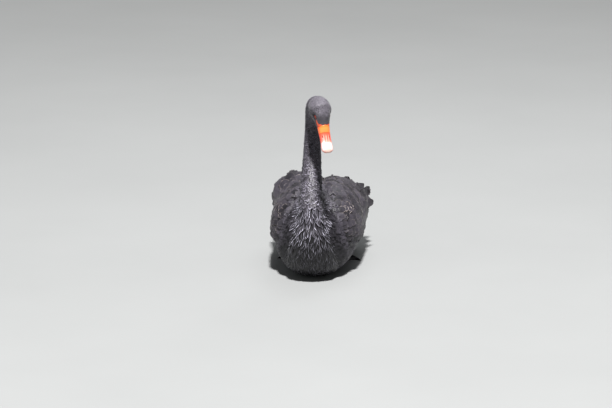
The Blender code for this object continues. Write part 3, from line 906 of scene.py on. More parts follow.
def walk(surface, roots, ways, lengths, style):
    """Where each feather's shaft runs over the surface, with the normal and the way on at each step."""
    places, normals = surface.nearest(roots)
    way = unit(ways - normals * dot(ways, normals)[:, None])
    path = [(places, normals, way)]
    for step in np.diff(style.along):
        places, normals = surface.nearest(places + way * (lengths * step)[:, None])
        kept = unit(way - normals * dot(way, normals)[:, None])
        way = unit(kept * style.stiff + flow(places, normals) * (1 - style.stiff))
        path.append((places, normals, way))
    return [np.stack(part, axis=1) for part in zip(*path)]


class Feathers:
    """A group of feathers of one style: where they root, which way they lie, and their sizes.

    Rise is how high over the skin they stand, lift how much more their tips do, and roll how
    unevenly they tilt. Girth is the radius of the body across them. Pallor is how pale their
    rims are, and lit how much of their colour painted shade leaves, 1 for none.
    """

    def __init__(self, style, roots, ways, lengths, widths, rise, rng, lift=0.0, roll=0.1,
                 girth=0.11, pallor=1.0):
        count = len(roots)
        self.style = style
        self.roots = roots
        self.ways = ways
        self.lengths = lengths
        self.widths = widths
        self.rise = rise
        self.lift = np.broadcast_to(lift, count)
        self.girth = np.broadcast_to(girth, count)
        self.roll = roll * rng.normal(0, 1, (count, 1))
        self.twist = style.twist * rng.normal(0, 1, (count, 1))
        self.curl = style.curl * rng.uniform(0.2, 1.2, (count, 1))
        self.phase = rng.uniform(0, 1, (count, 1))
        self.tone = rng.uniform(0.0, 1.0, count)
        self.pallor = np.broadcast_to(pallor, count) * (0.2 + 1.15 * rng.random(count) ** 1.6)
        self.lit = np.ones(count)

    def lay_on(self, surface):
        """Works out every corner of every vane."""
        style, count = self.style, len(self.roots)
        places, normals, way = walk(surface, self.roots, self.ways, self.lengths, style)
        side = np.cross(normals, way)
        along, lengths = style.along[None, :], self.lengths[:, None]
        # Tilted and twisted round its shaft, raised off the skin, and curled up at the tip
        spin = self.roll + self.twist * along**2
        cosine, sine = np.cos(spin)[..., None], np.sin(spin)[..., None]
        side, normals = side * cosine + normals * sine, normals * cosine - side * sine
        height = self.rise[:, None] * (ROOT_RISE + (1 - ROOT_RISE) * along**0.75)
        height = height + self.lift[:, None] * along**2.2
        height = height + self.curl * lengths * np.clip((along - 0.55) / 0.45, 0, 1) ** 2
        shaft = places + normals * height[..., None]
        half = self.widths[:, None] * style.width[None] / 2
        # The sides droop with the camber and the body's curve, and wave
        grid = []
        for across in style.across:
            reach = across * half
            drop = style.camber * across**2 * half + reach**2 / (2 * self.girth[:, None])
            shift = self.phase + (0.37 if across > 0 else 0)
            wave = np.sin(2 * math.pi * (style.waves * along + shift))
            ruffle = style.ruffle * self.widths[:, None] * abs(across) ** 1.4 * along**0.6
            back = ROUNDING * lengths * across**2 * along
            point = shaft + side * reach[..., None] - way * back[..., None]
            grid.append(point - normals * (drop - ruffle * wave)[..., None])
        top = np.stack(grid, axis=2)
        under = top[:, 1:-1, 1:-1] - normals[:, 1:-1, None] * style.thickness
        self.corners = np.concatenate(
            (top.reshape(count, -1, 3), under.reshape(count, -1, 3)), axis=1
        )
        return self


def vane_maps(style):
    """Each corner's place across and along one feather."""
    across, along = np.meshgrid((style.across + 1) / 2, style.along)
    top = np.stack((across, along), axis=-1)
    return np.vstack((top.reshape(-1, 2), top[1:-1, 1:-1].reshape(-1, 2)))


def rim_corners(style):
    """Which corners of one feather are on its rim."""
    rim = np.ones((len(style.along), len(style.across)), bool)
    rim[1:-1, 1:-1] = False
    inner = (len(style.along) - 2) * (len(style.across) - 2)
    return np.concatenate((rim.ravel(), np.zeros(inner, bool)))


def unwrap(points):
    """A flat map of the skin: round it one way, and from the bill to the tail the other way."""
    down, away, tangent = along_spine(points)
    nearest = np.searchsorted(SPINE_LENGTH, down).clip(0, len(SPINE) - 1)
    offset = points - SPINE[nearest]
    side = unit(np.cross(tangent, np.cross(np.broadcast_to((1.0, 0, 0), tangent.shape), tangent)))
    neck_turn = np.arctan2(dot(offset, side), dot(offset, np.cross(tangent, side)))
    body_turn = np.arctan2(points[:, 0], points[:, 2] - BODY_AXIS_Z)
    on_neck = (down < 0.40) & (away < 0.10)
    turn = np.where(on_neck, neck_turn, body_turn)
    run = np.where(on_neck, down, down.max() + points[:, 1])
    return np.stack((turn, run), axis=1)


def softly_clamped(values, low, high, soft):
    """Values drawn in smoothly to stay between low and high."""
    over = np.clip(values - (high - soft), 0, None)
    under = np.clip((low + soft) - values, 0, None)
    kept = [soft * (1 - np.exp(-excess / soft)) for excess in (over, under)]
    return values - over + kept[0] + under - kept[1]


def inside_bounds(points):
    """Feather corners drawn in to the CAD's box, and kept off the floor."""
    low, high = CAD_BOX
    points = points.copy()
    points[:, 0] = softly_clamped(points[:, 0], low[0] - PROUD, high[0] + PROUD, 0.010)
    points[:, 1] = softly_clamped(points[:, 1], low[1] - PROUD, high[1] + PROUD, 0.006)
    points[:, 2] = np.maximum(points[:, 2], COAT_OFF_FLOOR)
    return points


def add_coat(name, groups, material, slot_name="plumage_black", nodes=()):
    """Joins groups of feathers as one piece with its maps and values."""
    # Each feather has a small patch of the map, at the place of its root
    flat = unwrap(np.vstack([group.roots for group in groups]))
    low, high = flat.min(axis=0), flat.max(axis=0)
    flat = 0.01 + 0.98 * (flat - low) / np.maximum(high - low, 1e-6)
    parts = {key: [] for key in ("corners", "faces", "vane", "OFBake", "tone", "pallor", "lit", "rim")}
    start = done = 0
    for group in groups:
        style = group.style
        count, each = group.corners.shape[:2]
        faces = vane_faces(len(style.across), len(style.along))
        shift = start + np.arange(count)[:, None, None] * each
        place = flat[done : done + count]
        maps = vane_maps(style)
        parts["corners"].append(inside_bounds(group.corners.reshape(-1, 3)))
        parts["faces"].append((faces + shift).reshape(-1, 4))
        parts["vane"].append(np.tile(maps, (count, 1)))
        parts["OFBake"].append((place[:, None] + (maps - 0.5) * PATCH).reshape(-1, 2))
        parts["rim"].append(np.tile(rim_corners(style), count))
        for key in ("tone", "pallor", "lit"):
            parts[key].append(np.repeat(getattr(group, key), each))
        start += count * each
        done += count
    whole = {key: np.concatenate(part) for key, part in parts.items()}
    mesh = quad_mesh(name, whole["corners"], whole["faces"])
    for key in ("OFBake", "vane"):
        add_map(mesh, key, whole[key])
    mesh.uv_layers.active_index = 0
    mesh.uv_layers["OFBake"].active_render = True
    for key in ("tone", "pallor", "lit"):
        add_value(mesh, key, whole[key])
    sharp = whole["rim"][numbers_of(mesh.edges, "vertices", 2)].all(axis=1)
    mesh.attributes.new("sharp_edge", "BOOLEAN", "EDGE").data.foreach_set("value", sharp)
    object_from(name, mesh, material, slot_name, *nodes)


def eye_clearance(points):
    """How far each point is from the nearer eye's axis."""
    clear = np.full(len(points), 1.0)
    for _, centre, _, across, up in eye_parts():
        offset = points - centre
        aside = np.hypot(offset @ across, offset @ up)
        clear = np.where(np.linalg.norm(offset, axis=1) < 0.02, np.minimum(clear, aside), clear)
    return clear


def on_body(points):
    """0 on the neck and head, 1 on the body; how far down the neck, and how far out from it."""
    down, away, _ = along_spine(points)
    return body_share(down, away, 0.37), down, away


def feather_size(points):
    """How long a feather is there, and how far it is to the next one's root."""
    body, down, _ = on_body(points)
    # On the head and neck, in metres
    size = 0.0030 + 0.0022 * ease(down, 0.0, 0.05) + 0.0064 * ease(down, 0.05, 0.15)
    size = size + 0.0060 * ease(down, 0.2, 0.42)
    gap = size * (0.40 - 0.14 * ease(down, 0.05, 0.15))
    # On the body, where the bib has a length and a gap of its own
    large = 0.021 + 0.013 * ease(points[:, 1], -0.23, 0.05)
    column = bib(points)
    apart = large * 0.27
    apart = apart + (BIB_GAP - apart) * column
    large = large + (BIB_LENGTH - large) * column
    return size + (large - size) * body, gap + (apart - gap) * body


def small_feathers(skin, rng):
    """Roots of the feathers of the head, neck, breast, belly and back, and their sizes."""
    _, gap = feather_size(skin.corners)
    places, normals = skin.candidates(CANDIDATES, rng, gap)
    owner = nearest_node(places)
    ahead, _, _ = head_frame(places)
    size, gap = feather_size(places)
    ways = flow(places, normals)
    shafts = [places + ways * size[:, None] * share for share in (0, 0.5, 1)]
    clear = np.min([eye_clearance(place) for place in shafts], axis=0)
    # None on the wings and the tail's end, which have their own, on bare skin or on the floor
    near_bill = np.linalg.norm(places - BILL_BASE, axis=1) < 0.12
    left_out = np.isin(owner, WING_NUMBERS) | (owner == TAIL_NUMBER) & (places[:, 1] > 0.30)
    left_out |= near_bill & ((bare_face(places) > 0.4) | (clear < EYE_CLEARANCE) | (ahead > -0.0008))
    left_out |= places[:, 2] < 0.002
    kept = np.flatnonzero(~left_out)
    kept = kept[spread(places[kept], gap[kept])]
    return places[kept], ways[kept], size[kept]


def painted_shade(points, body):
    """How light the feathers and their pale rims are, from 1 for the usual down to 0.

    Painted shade darkens the furrows beside the bib, the forehead next to the bill and the rim of
    the eyes. The low part of the breast is darker, partly for being soaked and partly as painted
    shade.
    """
    ahead, _, _ = head_frame(points)
    near = np.linalg.norm(points - BILL_BASE, axis=1) < 0.05
    # Painted shade in the furrows beside the bib, on the forehead next to the bill and round the eyes
    furrow = 0.75 * valley(points) * body
    forehead = 0.68 * near * ease(ahead, -0.032, -0.012)
    eye_rim = 0.45 * ease(eye_clearance(points), 0.0105, 0.0065)
    lit = (1 - furrow) * (1 - forehead) * (1 - eye_rim)
    _, y, z = points.T
    # The low front of the body goes darker towards the waterline: partly soaked, partly painted shade
    low = ease(z, 0.205, 0.150) * ease(y, -0.16, -0.22) * body
    wet_and_shade = 0.95 * low * bib(points)
    lowest = 0.60 * ease(z, 0.16, 0.11) * low
    return lit * (1 - wet_and_shade) * (1 - 0.15 * low), lit * (1 - 0.50 * low) * (1 - lowest)


def make_small_coat(skin, rng):
    """The feathers that grow straight out of the skin, in a piece for each part of the bird."""
    roots, ways, size = small_feathers(skin, rng)
    body, down, away = on_body(roots)
    size = size * rng.uniform(0.85, 1.15, len(roots))
    girth = np.where(body < 0.5, np.maximum(away, 0.015), 0.11)
    rise = coat_depth(roots, furrows=False) * rng.uniform(0.75, 1.1, len(roots))
    rise = rise * (1 - 0.35 * ease(roots[:, 1], -0.235, -0.20) * (1 - bib(roots)) * body)
    _, y, z = roots.T
    on_head = down < 0.075
    on_neck = ~on_head & (body < 0.5)
    front = ~on_head & ~on_neck & (y < -0.13) & (z > 0.02)
    column = front & (bib(roots) > 0.5)
    forward = dot(roots - SPINE[nearest_on_spine(roots)], FRONT)
    # Rims paler on the front of the neck than behind: pale fringes with painted highlight where it faces
    # the light
    throat = 0.4 + 0.9 * ease(forward, -0.01, 0.02)
    rest = ~on_head & ~on_neck & ~front
    upper = on_neck & (down < 0.24)
    low = z < 0.15
    # Name, which feathers, style, material, width as a share of length, how pale the rims are
    parts = (
        ("coat_head", on_head, HEAD_STYLE, "head", 0.62, 0.6),
        ("coat_neck_upper", upper, NECK_STYLE, "neck", 0.50, 0.7),
        ("coat_neck_lower", on_neck & ~upper, COLLAR_STYLE, "neck", 0.48, throat),
        # The bib's rims are pale edges brightened as painted highlight
        ("coat_bib", column, BIB_STYLE, "bib", 0.27, 1.5),
        ("coat_flanks", front & ~column, FLANK_STYLE, "flank", 0.50, 0.6),
        ("coat_belly", rest & low, BELLY_STYLE, "flank", 0.66, 0.5),
        ("coat_back", rest & ~low, FLANK_STYLE, "flank", 0.66, 0.7),
    )
    # Painted shade on the feathers, and less pale rims where it falls
    lit, pale = painted_shade(roots, body)
    for name, chosen, style, material, slender, pallor in parts:
        paleness = np.broadcast_to(pallor, len(roots))[chosen]
        group = Feathers(
            style, roots[chosen], ways[chosen], size[chosen], size[chosen] * slender,
            rise[chosen], rng, girth=girth[chosen], pallor=paleness,
        )
        group.lit = lit[chosen]
        group.pallor = group.pallor * pale[chosen]
        add_coat(name, [group.lay_on(skin)], MATERIALS[material])


def rooted(skin, rows):
    """Rows split into roots, the normals and the ways feathers lie there, and other numbers."""
    rows = np.array(rows)
    roots = rows[:, :3]
    _, normals = skin.nearest(roots)
    return roots, normals, flow(roots, normals), rows[:, 3:].T


def on_side(skin, y, angle):
    """The place on the skin that many radians round the body from straight up, at that y."""
    start = np.array((0.0, y, BODY_AXIS_Z))
    way = np.array((math.sin(angle), 0.0, math.cos(angle)))
    hit = skin.tree.ray_cast((start + way * 0.4).tolist(), (-way).tolist())
    return np.array(hit[0][:])


# Rows of a folded wing's feathers from the shoulder back: y of their roots, the upper and lower
# end as degrees round the body from straight up, length, width
WING_ROWS = (
    (-0.214, 40, 70, 0.022, 0.017),
    (-0.204, 35, 78, 0.024, 0.018),
    (-0.193, 31, 83, 0.026, 0.019),
    (-0.181, 28, 87, 0.029, 0.020),
    (-0.168, 25, 90, 0.032, 0.021),
    (-0.154, 22, 92, 0.035, 0.022),
    (-0.139, 20, 94, 0.038, 0.024),
    (-0.122, 18, 96, 0.041, 0.026),
    (-0.104, 16, 97, 0.045, 0.028),
    (-0.084, 14, 98, 0.050, 0.030),
    (-0.062, 12, 99, 0.055, 0.032),
    (-0.038, 11, 99, 0.060, 0.034),
    (-0.012, 9, 99, 0.065, 0.036),
    (0.016, 8, 99, 0.070, 0.037),
    (0.045, 8, 98, 0.074, 0.038),
    (0.075, 7, 97, 0.076, 0.038),
    (0.105, 7, 95, 0.076, 0.037),
    (0.135, 7, 92, 0.073, 0.035),
    (0.164, 8, 87, 0.068, 0.033),
    (0.192, 8, 80, 0.062, 0.030),
    (0.218, 9, 70, 0.055, 0.027),
    (0.242, 11, 58, 0.048, 0.025),
)
# This many rows at the front stand up a little more. The rims there are palest at this height,
# pale fringes with painted highlight along the wing's upper front, and fade over this distance
# from it
FRONT_ROWS = 4
WING_EDGE_Z = 0.188
WING_EDGE_HALF = 0.008


def make_coverts(skin, sign, rng):
    """The staggered rows of rounded feathers over a folded wing, palest along its upper front, where
    pale rims carry painted highlight.
    """
    rows = []
    for number, (y, top, bottom, length, width) in enumerate(WING_ROWS):
        middle = on_side(skin, y, sign * math.radians((top + bottom) / 2))
        girth = math.hypot(middle[0], middle[2] - BODY_AXIS_Z)
        step = math.degrees(width * 0.55 / girth)
        for angle in np.arange(top + (number % 2) * 0.5 * step, bottom, step):
            turn = sign * math.radians(angle + rng.normal(0, 0.14) * step)
            root = on_side(skin, y + rng.normal(0, 0.05) * length, turn)
            big = rng.uniform(0.86, 1.14)
            rows.append((*root, length * big, width * big, number))
    roots, _, ways, (length, width, number) = rooted(skin, rows)
    front = number < FRONT_ROWS
    rise = BODY_DEPTH * (0.90 + 0.45 * front) * rng.uniform(0.85, 1.15, len(rows))
    # A pale band along the wing's upper front: pale fringes with painted highlight
    off = (roots[:, 2] - WING_EDGE_Z) / WING_EDGE_HALF
    edge = np.exp(-(off**2)) * ease(roots[:, 1], -0.13, -0.17)
    pallor = 0.25 + 0.35 * rng.random(len(rows)) + 1.9 * edge
    return Feathers(COVERT_STYLE, roots, ways, length, width, rise, rng, roll=0.07,
                    pallor=pallor).lay_on(skin)


# Tiers of the large curled feathers over the rear of a wing: y of their roots, the upper and
# lower end in degrees round the body, how many, length, width
PLUME_TIERS = (
    (0.010, 10, 66, 9, 0.085, 0.027),
    (0.037, 10, 80, 12, 0.090, 0.027),
    (0.064, 10, 86, 13, 0.092, 0.027),
    (0.091, 10, 86, 13, 0.092, 0.027),
    (0.118, 10, 82, 12, 0.088, 0.026),
    (0.145, 12, 76, 11, 0.082, 0.025),
    (0.172, 14, 66, 9, 0.074, 0.024),
    (0.196, 16, 56, 7, 0.064, 0.022),
)
PLUME_LIFT = 0.013
# The angle round the body from which a wing's feathers curl
CURLS_FROM = {1: 42, -1: 33}


def make_plumes(skin, sign, rng):
    """The inner feathers over the rear of a wing: smooth along the back, curled lower down."""
    rows = []
    for y, top, bottom, count, length, width in PLUME_TIERS:
        for angle in np.linspace(top, bottom, count):
            turn = sign * math.radians(angle + rng.normal(0, 2.0))
            root = on_side(skin, y + rng.normal(0, 0.007), turn)
            big = rng.uniform(0.85, 1.12)
            rows.append((*root, length * big, width * big, angle + rng.normal(0, 6)))
    roots, normals, ways, (length, width, angle) = rooted(skin, rows)
    ways = unit(ways + np.cross(normals, ways) * rng.normal(0, 0.09, (len(rows), 1)))
    start = CURLS_FROM[sign]
    groups = []
    for style, chosen in ((SMOOTH_STYLE, angle < start), (PLUME_STYLE, angle >= start)):
        free = ease(angle[chosen], start - 2, start + 14)
        lift = PLUME_LIFT * free * rng.uniform(0.1, 1.5, chosen.sum())
        lift = lift * (0.1 + 0.9 * ease(angle[chosen], 34, 52))
        group = Feathers(style, roots[chosen], ways[chosen], length[chosen], width[chosen],
                         BODY_DEPTH * (1.0 + 0.25 * free), rng, lift=lift, roll=0.12, girth=0.14,
                         pallor=0.8)
        groups.append(group.lay_on(skin))
    return groups


def make_wings(skin, rng):
    """The folded wings' feathers."""
    for side, sign in SIDES:
        coverts = make_coverts(skin, sign, rng)
        add_coat(f"coat_wing_{side}", [coverts], MATERIALS["wing"])
        add_coat(f"coat_plumes_{side}", make_plumes(skin, sign, rng), MATERIALS["plume"])


def flat_feathers(roots, ends, width, ups, rng, bow=0.0):
    """Straight stiff feathers from roots to ends, laid in the air and not on a surface."""
    style = BLADE_STYLE
    widths = np.full(len(roots), width)
    group = Feathers(style, roots, ends - roots, widths, widths, widths, rng)
    blades = []
    for root, end, up in zip(roots, ends, ups):
        length = np.linalg.norm(end - root)
        way = (end - root) / length
        side = unit(np.cross(way, up))
        up = np.cross(side, way)
        run = root + way * (style.along * length)[:, None]
        run = run + up * (bow * length * np.sin(math.pi * style.along))[:, None]
        half = (width * style.width / 2)[:, None]
        across = style.across[None]
        grid = run[:, None] + side * (across * half)[..., None]
        grid = grid - up * (style.camber * across**2 * half)[..., None]
        grid = grid - way * (ROUNDING * length * across**2 * style.along[:, None])[..., None]
        under = grid[1:-1, 1:-1] - up * style.thickness
        blades.append(np.vstack((grid.reshape(-1, 3), under.reshape(-1, 3))))
    group.corners = np.array(blades)
    return group


def tail_layer(rng, count, start, spread_deg, base, length, width, height, droop):
    """A fan of tail feathers, the middle one on top."""
    off = np.linspace(-1, 1, count)
    turn = np.radians(spread_deg) * off
    ways = unit(np.stack((np.sin(turn), np.cos(turn), np.full(count, -droop)), axis=1))
    # The middle ones lie highest, and the outer ones are shorter and tilted
    stack = 0.0010 * (count / 2) * (1 - np.abs(off))
    z = height - np.abs(off) * 0.004 + stack
    roots = np.stack((base * off, np.full(count, start), z), axis=1)
    ends = roots + ways * (length * (1 - 0.16 * off**2))[:, None]
    ups = np.stack((off * 0.35, np.zeros(count), np.ones(count)), axis=1)
    return flat_feathers(roots, ends, width, ups, rng)


# The tail's two layers: how many feathers, y of their roots, the fan's half angle in degrees, the
# half width of its base, length, width, height and how far they slope down
TAIL_LAYERS = (
    (13, 0.262, 15, 0.022, 0.128, 0.028, 0.1345, 0.10),
    (12, 0.258, 13, 0.020, 0.124, 0.027, 0.1265, 0.085),
)
# Rows of the short feathers over the tail's base: y, half width of the row, length
TAIL_ROWS = ((0.225, 0.030, 0.060), (0.245, 0.028, 0.060), (0.268, 0.026, 0.055),
             (0.290, 0.026, 0.048))
TAIL_ROW_COUNT = 7
TAIL_Z = 0.13


def make_tail(skin, rng):
    """The tail's fan of feathers in two layers, and the short feathers over its base."""
    groups = [tail_layer(rng, *numbers) for numbers in TAIL_LAYERS]
    # Lowered after they are laid, so that the two layers lie apart on the map
    groups[1].roots = groups[1].roots - (0, 0, 0.08)
    for above in (1, -1):
        rows = []
        for y, half, length in TAIL_ROWS:
            for x in np.linspace(-half, half, TAIL_ROW_COUNT):
                start = (x + rng.normal(0, 0.002), y + rng.normal(0, 0.003), TAIL_Z + 0.2 * above)
                hit = skin.tree.ray_cast(start, (0, 0, -above))
                rows.append((*hit[0][:], length * rng.uniform(0.85, 1.15)))
        roots, _, ways, (length,) = rooted(skin, rows)
        rise = np.full(len(rows), 0.008)
        group = Feathers(COVERT_STYLE, roots, ways, length, length * 0.42, rise, rng)
        groups.append(group.lay_on(skin))
    add_coat("coat_tail", groups, MATERIALS["tail"])


# The roots and tips of a wing's outermost and innermost white feather
PRIMARY_COUNT = 7
PRIMARY_WIDTH = 0.017
PRIMARY_ROOTS = ((0.042, 0.205, 0.160), (0.024, 0.225, 0.174))
PRIMARY_TIPS = ((0.031, 0.272, 0.141), (0.009, 0.342, 0.150))


def make_primaries(rng):
    """The folded white flight feathers that show over the rump."""
    groups = []
    for _, sign in SIDES:
        side = np.array((sign, 1, 1))
        roots = np.linspace(*PRIMARY_ROOTS, PRIMARY_COUNT) * side
        tips = np.linspace(*PRIMARY_TIPS, PRIMARY_COUNT) * side
        ups = np.broadcast_to((sign * 0.45, 0, 0.9), (PRIMARY_COUNT, 3))
        groups.append(flat_feathers(roots, tips, PRIMARY_WIDTH, ups, rng, bow=0.03))
    add_coat("coat_primaries", groups, MATERIALS["white"], "primaries_white",
             ("primaries_left", "primaries_right"))


# Bill


BILL_RINGS = 96
DOME_SIDES = 56
FLAT_SIDES = 18
# The bill starts at this share of its length, inside the head
BILL_ROOT = -0.035
# Where the nostril is and its half sizes, each as a share of the length and of the half width
NOSTRIL = (0.42, 0.60)
NOSTRIL_HALVES = (0.068, 0.085)
NAIL_START = 0.87
# Shares of the length, and the power that shapes the dome there: 1 is round, less is squarer
DOME_POWERS = ((0, 0.35, 0.8, 1), (0.95, 0.85, 0.62, 0.62))
LOWER_NARROWING = 0.80


def bill_rows(shares):
    """Half width, top, cutting edge and underside of the bill at these shares of its length."""
    fine = curve_points(BILL_SECTIONS, 12)
    return [np.interp(shares, fine[:, 0], fine[:, k]) for k in range(1, 5)]


def upper_details(run, aside, domed, half, out):
    """Where the nail and the nostrils are, and how the horn swells there and widens at its lip."""
    nail = ease(run, NAIL_START - 0.006, NAIL_START + 0.012) * domed
    nail = nail * ease(np.abs(out), 0.0062, 0.0054)
    hole = ((run - NOSTRIL[0]) / NOSTRIL_HALVES[0]) ** 2
    hole = hole + ((aside - NOSTRIL[1]) / NOSTRIL_HALVES[1]) ** 2
    hole = np.where(domed, hole, 9.0)
    # The nostril's opening is painted dark: painted shade inside it, over a shallow dip in the horn
    dark = ease(hole, 1.1, 0.6)
    ring = ease(hole, 2.8, 1.2) * (1 - dark)
    lip = ease(aside, 0.90, 0.985) * domed * ease(run, 1.0, 0.9)
    swell = 1 + (0.0006 * nail + 0.0004 * ring - 0.0012 * dark) / half
    return nail, dark, swell, 0.00035 * lip / half


def half_bill(name, upper):
    """The upper or the lower half of the bill: a dome on the upper one, a shallow keel below."""
    # The rings lie closer together towards the tip, and the first are inside the head
    shares = BILL_ROOT + (1 - BILL_ROOT) * (1 - (1 - np.linspace(0, 1, BILL_RINGS)) ** 1.4)
    run = shares if upper else BILL_ROOT + (shares - BILL_ROOT) * LOWER_BILL_END
    half, top, edge, under = bill_rows(np.clip(run, 0.008, 1))
    sunk = 1 - 0.10 * ease(run, 0.01, BILL_ROOT)
    half = half * sunk * (1 if upper else LOWER_NARROWING)
    # Each ring is a dome from cutting edge to cutting edge, closed by a nearly flat side
    dome = np.linspace(-math.pi / 2, math.pi / 2, DOME_SIDES, endpoint=False)
    flat = np.linspace(math.pi / 2, 3 * math.pi / 2, FLAT_SIDES, endpoint=False)
    turn = np.concatenate((dome, flat))
    sine, cosine = np.sin(turn)[None], np.cos(turn)[None]
    domed = cosine > 0
    power = np.interp(run, *DOME_POWERS)[:, None]
    height = np.clip(cosine, 0, 1) ** power
    out = half[:, None] * np.sign(sine) * np.abs(sine) ** 0.9
    if upper:
        rise = ((top - edge) * sunk)[:, None] * height
        up = edge[:, None] + rise + 0.0010 * np.clip(-cosine, 0, 1)
    else:
        fall = ((edge - under) * sunk)[:, None] * height - 0.0006
        up = edge[:, None] - fall - 0.0006 * np.clip(-cosine, 0, 1)
    ahead = np.broadcast_to((run * BILL_LENGTH)[:, None], out.shape)
    aside = np.abs(sine)
    marks = {
        "low": np.clip((aside - 0.80) / 0.20, 0, 1),
        "aside": aside if upper else 1.0,
        "nail": 0.0,
        "dark": 0.0,
    }
    if upper:
        nail, dark, swell, lip = upper_details(run[:, None], aside, domed, half[:, None], out)
        out = out * (swell + lip)
        up = edge[:, None] + (up - edge[:, None]) * swell
        marks.update(nail=nail, dark=dark)
    mesh = tube_mesh(name, from_head(ahead[..., None], up[..., None], out[..., None]))
    add_value(mesh, "share", np.append(np.repeat(run, len(turn)), (run[0], run[-1])))
    for label, values in marks.items():
        add_value(mesh, label, np.append(np.broadcast_to(values, out.shape).ravel(), (0, 0)))
    return mesh


def tube_mesh(name, rings):
    """A closed mesh through rings of points, with a middle point on each end."""
    count, sides = rings.shape[:2]
    index = np.arange(count * sides).reshape(count, sides)
    onward = np.roll(index, -1, axis=1)
    quads = np.stack((index[:-1], onward[:-1], onward[1:], index[1:]), axis=-1)
    quads = quads.reshape(-1, 4).tolist()
    first, last = count * sides, count * sides + 1
    ends = [(first, b, a) for a, b in zip(index[0].tolist(), onward[0].tolist())]
    ends += [(last, a, b) for a, b in zip(index[-1].tolist(), onward[-1].tolist())]
    middles = np.stack((rings[0].mean(axis=0), rings[-1].mean(axis=0)))
    corners = np.vstack((rings.reshape(-1, 3), middles))
    mesh = bpy.data.meshes.new(name)
    mesh.from_pydata(corners.tolist(), [], quads + ends)
    mesh.update()
    mesh.shade_smooth()
    return mesh


def make_bill():
    """Both halves of the bill."""
    material = bill_material()
    for name, upper in (("bill_upper", True), ("bill_lower", False)):
        object_from(name + "_horn", half_bill(name + "_horn", upper), material, "bill_red", name)


# Eyes

EYE_SIDES = 64
# The lid's section from its inner rim out over the eye and back under: how far past the rim in
# radians, how high over the eyeball in metres, and how red
LID_SECTION = (
    (0.000, -0.0004, 1.0),
    (-0.012, 0.0000, 1.0),
    (0.000, 0.0004, 1.0),
    (0.040, 0.0005, 0.9),
    (0.075, 0.0003, 0.5),
    (0.110, 0.0004, 0.3),
    (0.150, 0.0005, 0.15),
    (0.190, 0.0003, 0.1),
    (0.230, 0.0004, 0.05),
    (0.300, 0.0002, 0.0),
    (0.440, -0.0003, 0.0),
    (0.600, -0.0012, 0.0),
    (0.480, -0.0018, 0.0),
    (0.200, -0.0012, 0.0),
)


def sphere_rings(centre, radius, angles, axis, across, up):
    """Rings round an axis at these angles from it, on a sphere of these radii."""
    turn = np.linspace(0, 2 * math.pi, EYE_SIDES, endpoint=False)[None]
    angles = np.broadcast_to(angles, (len(angles), EYE_SIDES))[..., None]
    ring = np.cos(turn)[..., None] * across + np.sin(turn)[..., None] * up
    return centre + radius * (np.cos(angles) * axis + np.sin(angles) * ring)


EYE_RINGS = 44
# How far out over the eyeball its colours reach, in radians
EYE_COLOUR_REACH = 1.2


def make_eyes():
    """The eyeballs, and the lids round them."""
    material, lid = eye_material(), lid_material()
    for side, centre, axis, across, up in eye_parts():
        name = f"eyeball_{side}"
        angles = np.linspace(0.02, math.pi - 0.02, EYE_RINGS)
        rings = sphere_rings(centre, EYE_RADIUS, angles[:, None], axis, across, up)
        mesh = tube_mesh(name, rings)
        out = np.clip(angles / EYE_COLOUR_REACH, 0, 1)
        add_value(mesh, "out", np.append(np.repeat(out, EYE_SIDES), (0, 1)))
        object_from(name, mesh, material, "eye_red", f"eye_{side}")
        name = f"eyelid_{side}"
        object_from(name, lid_mesh(name, centre, axis, across, up), lid, "plumage_black")


def lid_mesh(name, centre, axis, across, up):
    """Wrinkled lids that leave an opening wider than it is high."""
    turn = np.linspace(0, 2 * math.pi, EYE_SIDES, endpoint=False)
    wide, tall = EYE_OPENING
    opening = wide - (wide - tall) * np.abs(np.sin(turn)) ** 1.5
    rows = np.array(LID_SECTION)
    angles = opening[None] + rows[:, :1] + 0.010 * np.sin(11 * turn)[None] * (rows[:, :1] > 0.1)
    radius = EYE_RADIUS + rows[:, 1][:, None, None]
    rings = sphere_rings(centre, radius, angles, axis, across, up)
    index = np.arange(rings[..., 0].size).reshape(rings.shape[:2])
    on, round_it = np.roll(index, -1, axis=0), np.roll(index, -1, axis=1)
    faces = np.stack((index, round_it, np.roll(on, -1, axis=1), on), axis=-1).reshape(-1, 4)
    mesh = quad_mesh(name, rings.reshape(-1, 3), faces)
    add_value(mesh, "rim", np.repeat(rows[:, 2], EYE_SIDES))
    return mesh


# Feet


# The left foot: its heel, the way the middle toe points, and each toe's angle from it and reach
HEEL = np.array((0.058, 0.080, 0.0062))
TOE_HEADING = math.radians(11)
TOES = (("inner", -22, 0.098), ("middle", 0, 0.112), ("outer", 22, 0.105))
FOOT_VOXEL = 0.0012
ANKLE_RADIUS = 0.0070
CLAW_LENGTH = 0.0115
CLAW_RADIUS = 0.0026
TOE_SCALE = 0.0042
CLAW_SIDES = 16


def toe_way(degrees, sign):
    """The way a toe points, for the left or the right foot."""
    turn = TOE_HEADING + math.radians(degrees)
    return np.array((sign * math.sin(turn), -math.cos(turn), 0.0))


def ankle(heel):
    """A knob that joins the foot to the leg."""
    angles = np.linspace(0.05, math.pi - 0.05, 16)[:, None]
    axes = np.eye(3)
    rings = sphere_rings(heel, ANKLE_RADIUS, angles, axes[1], axes[0], axes[2])
    return arrays_of(tube_mesh("ankle", rings))


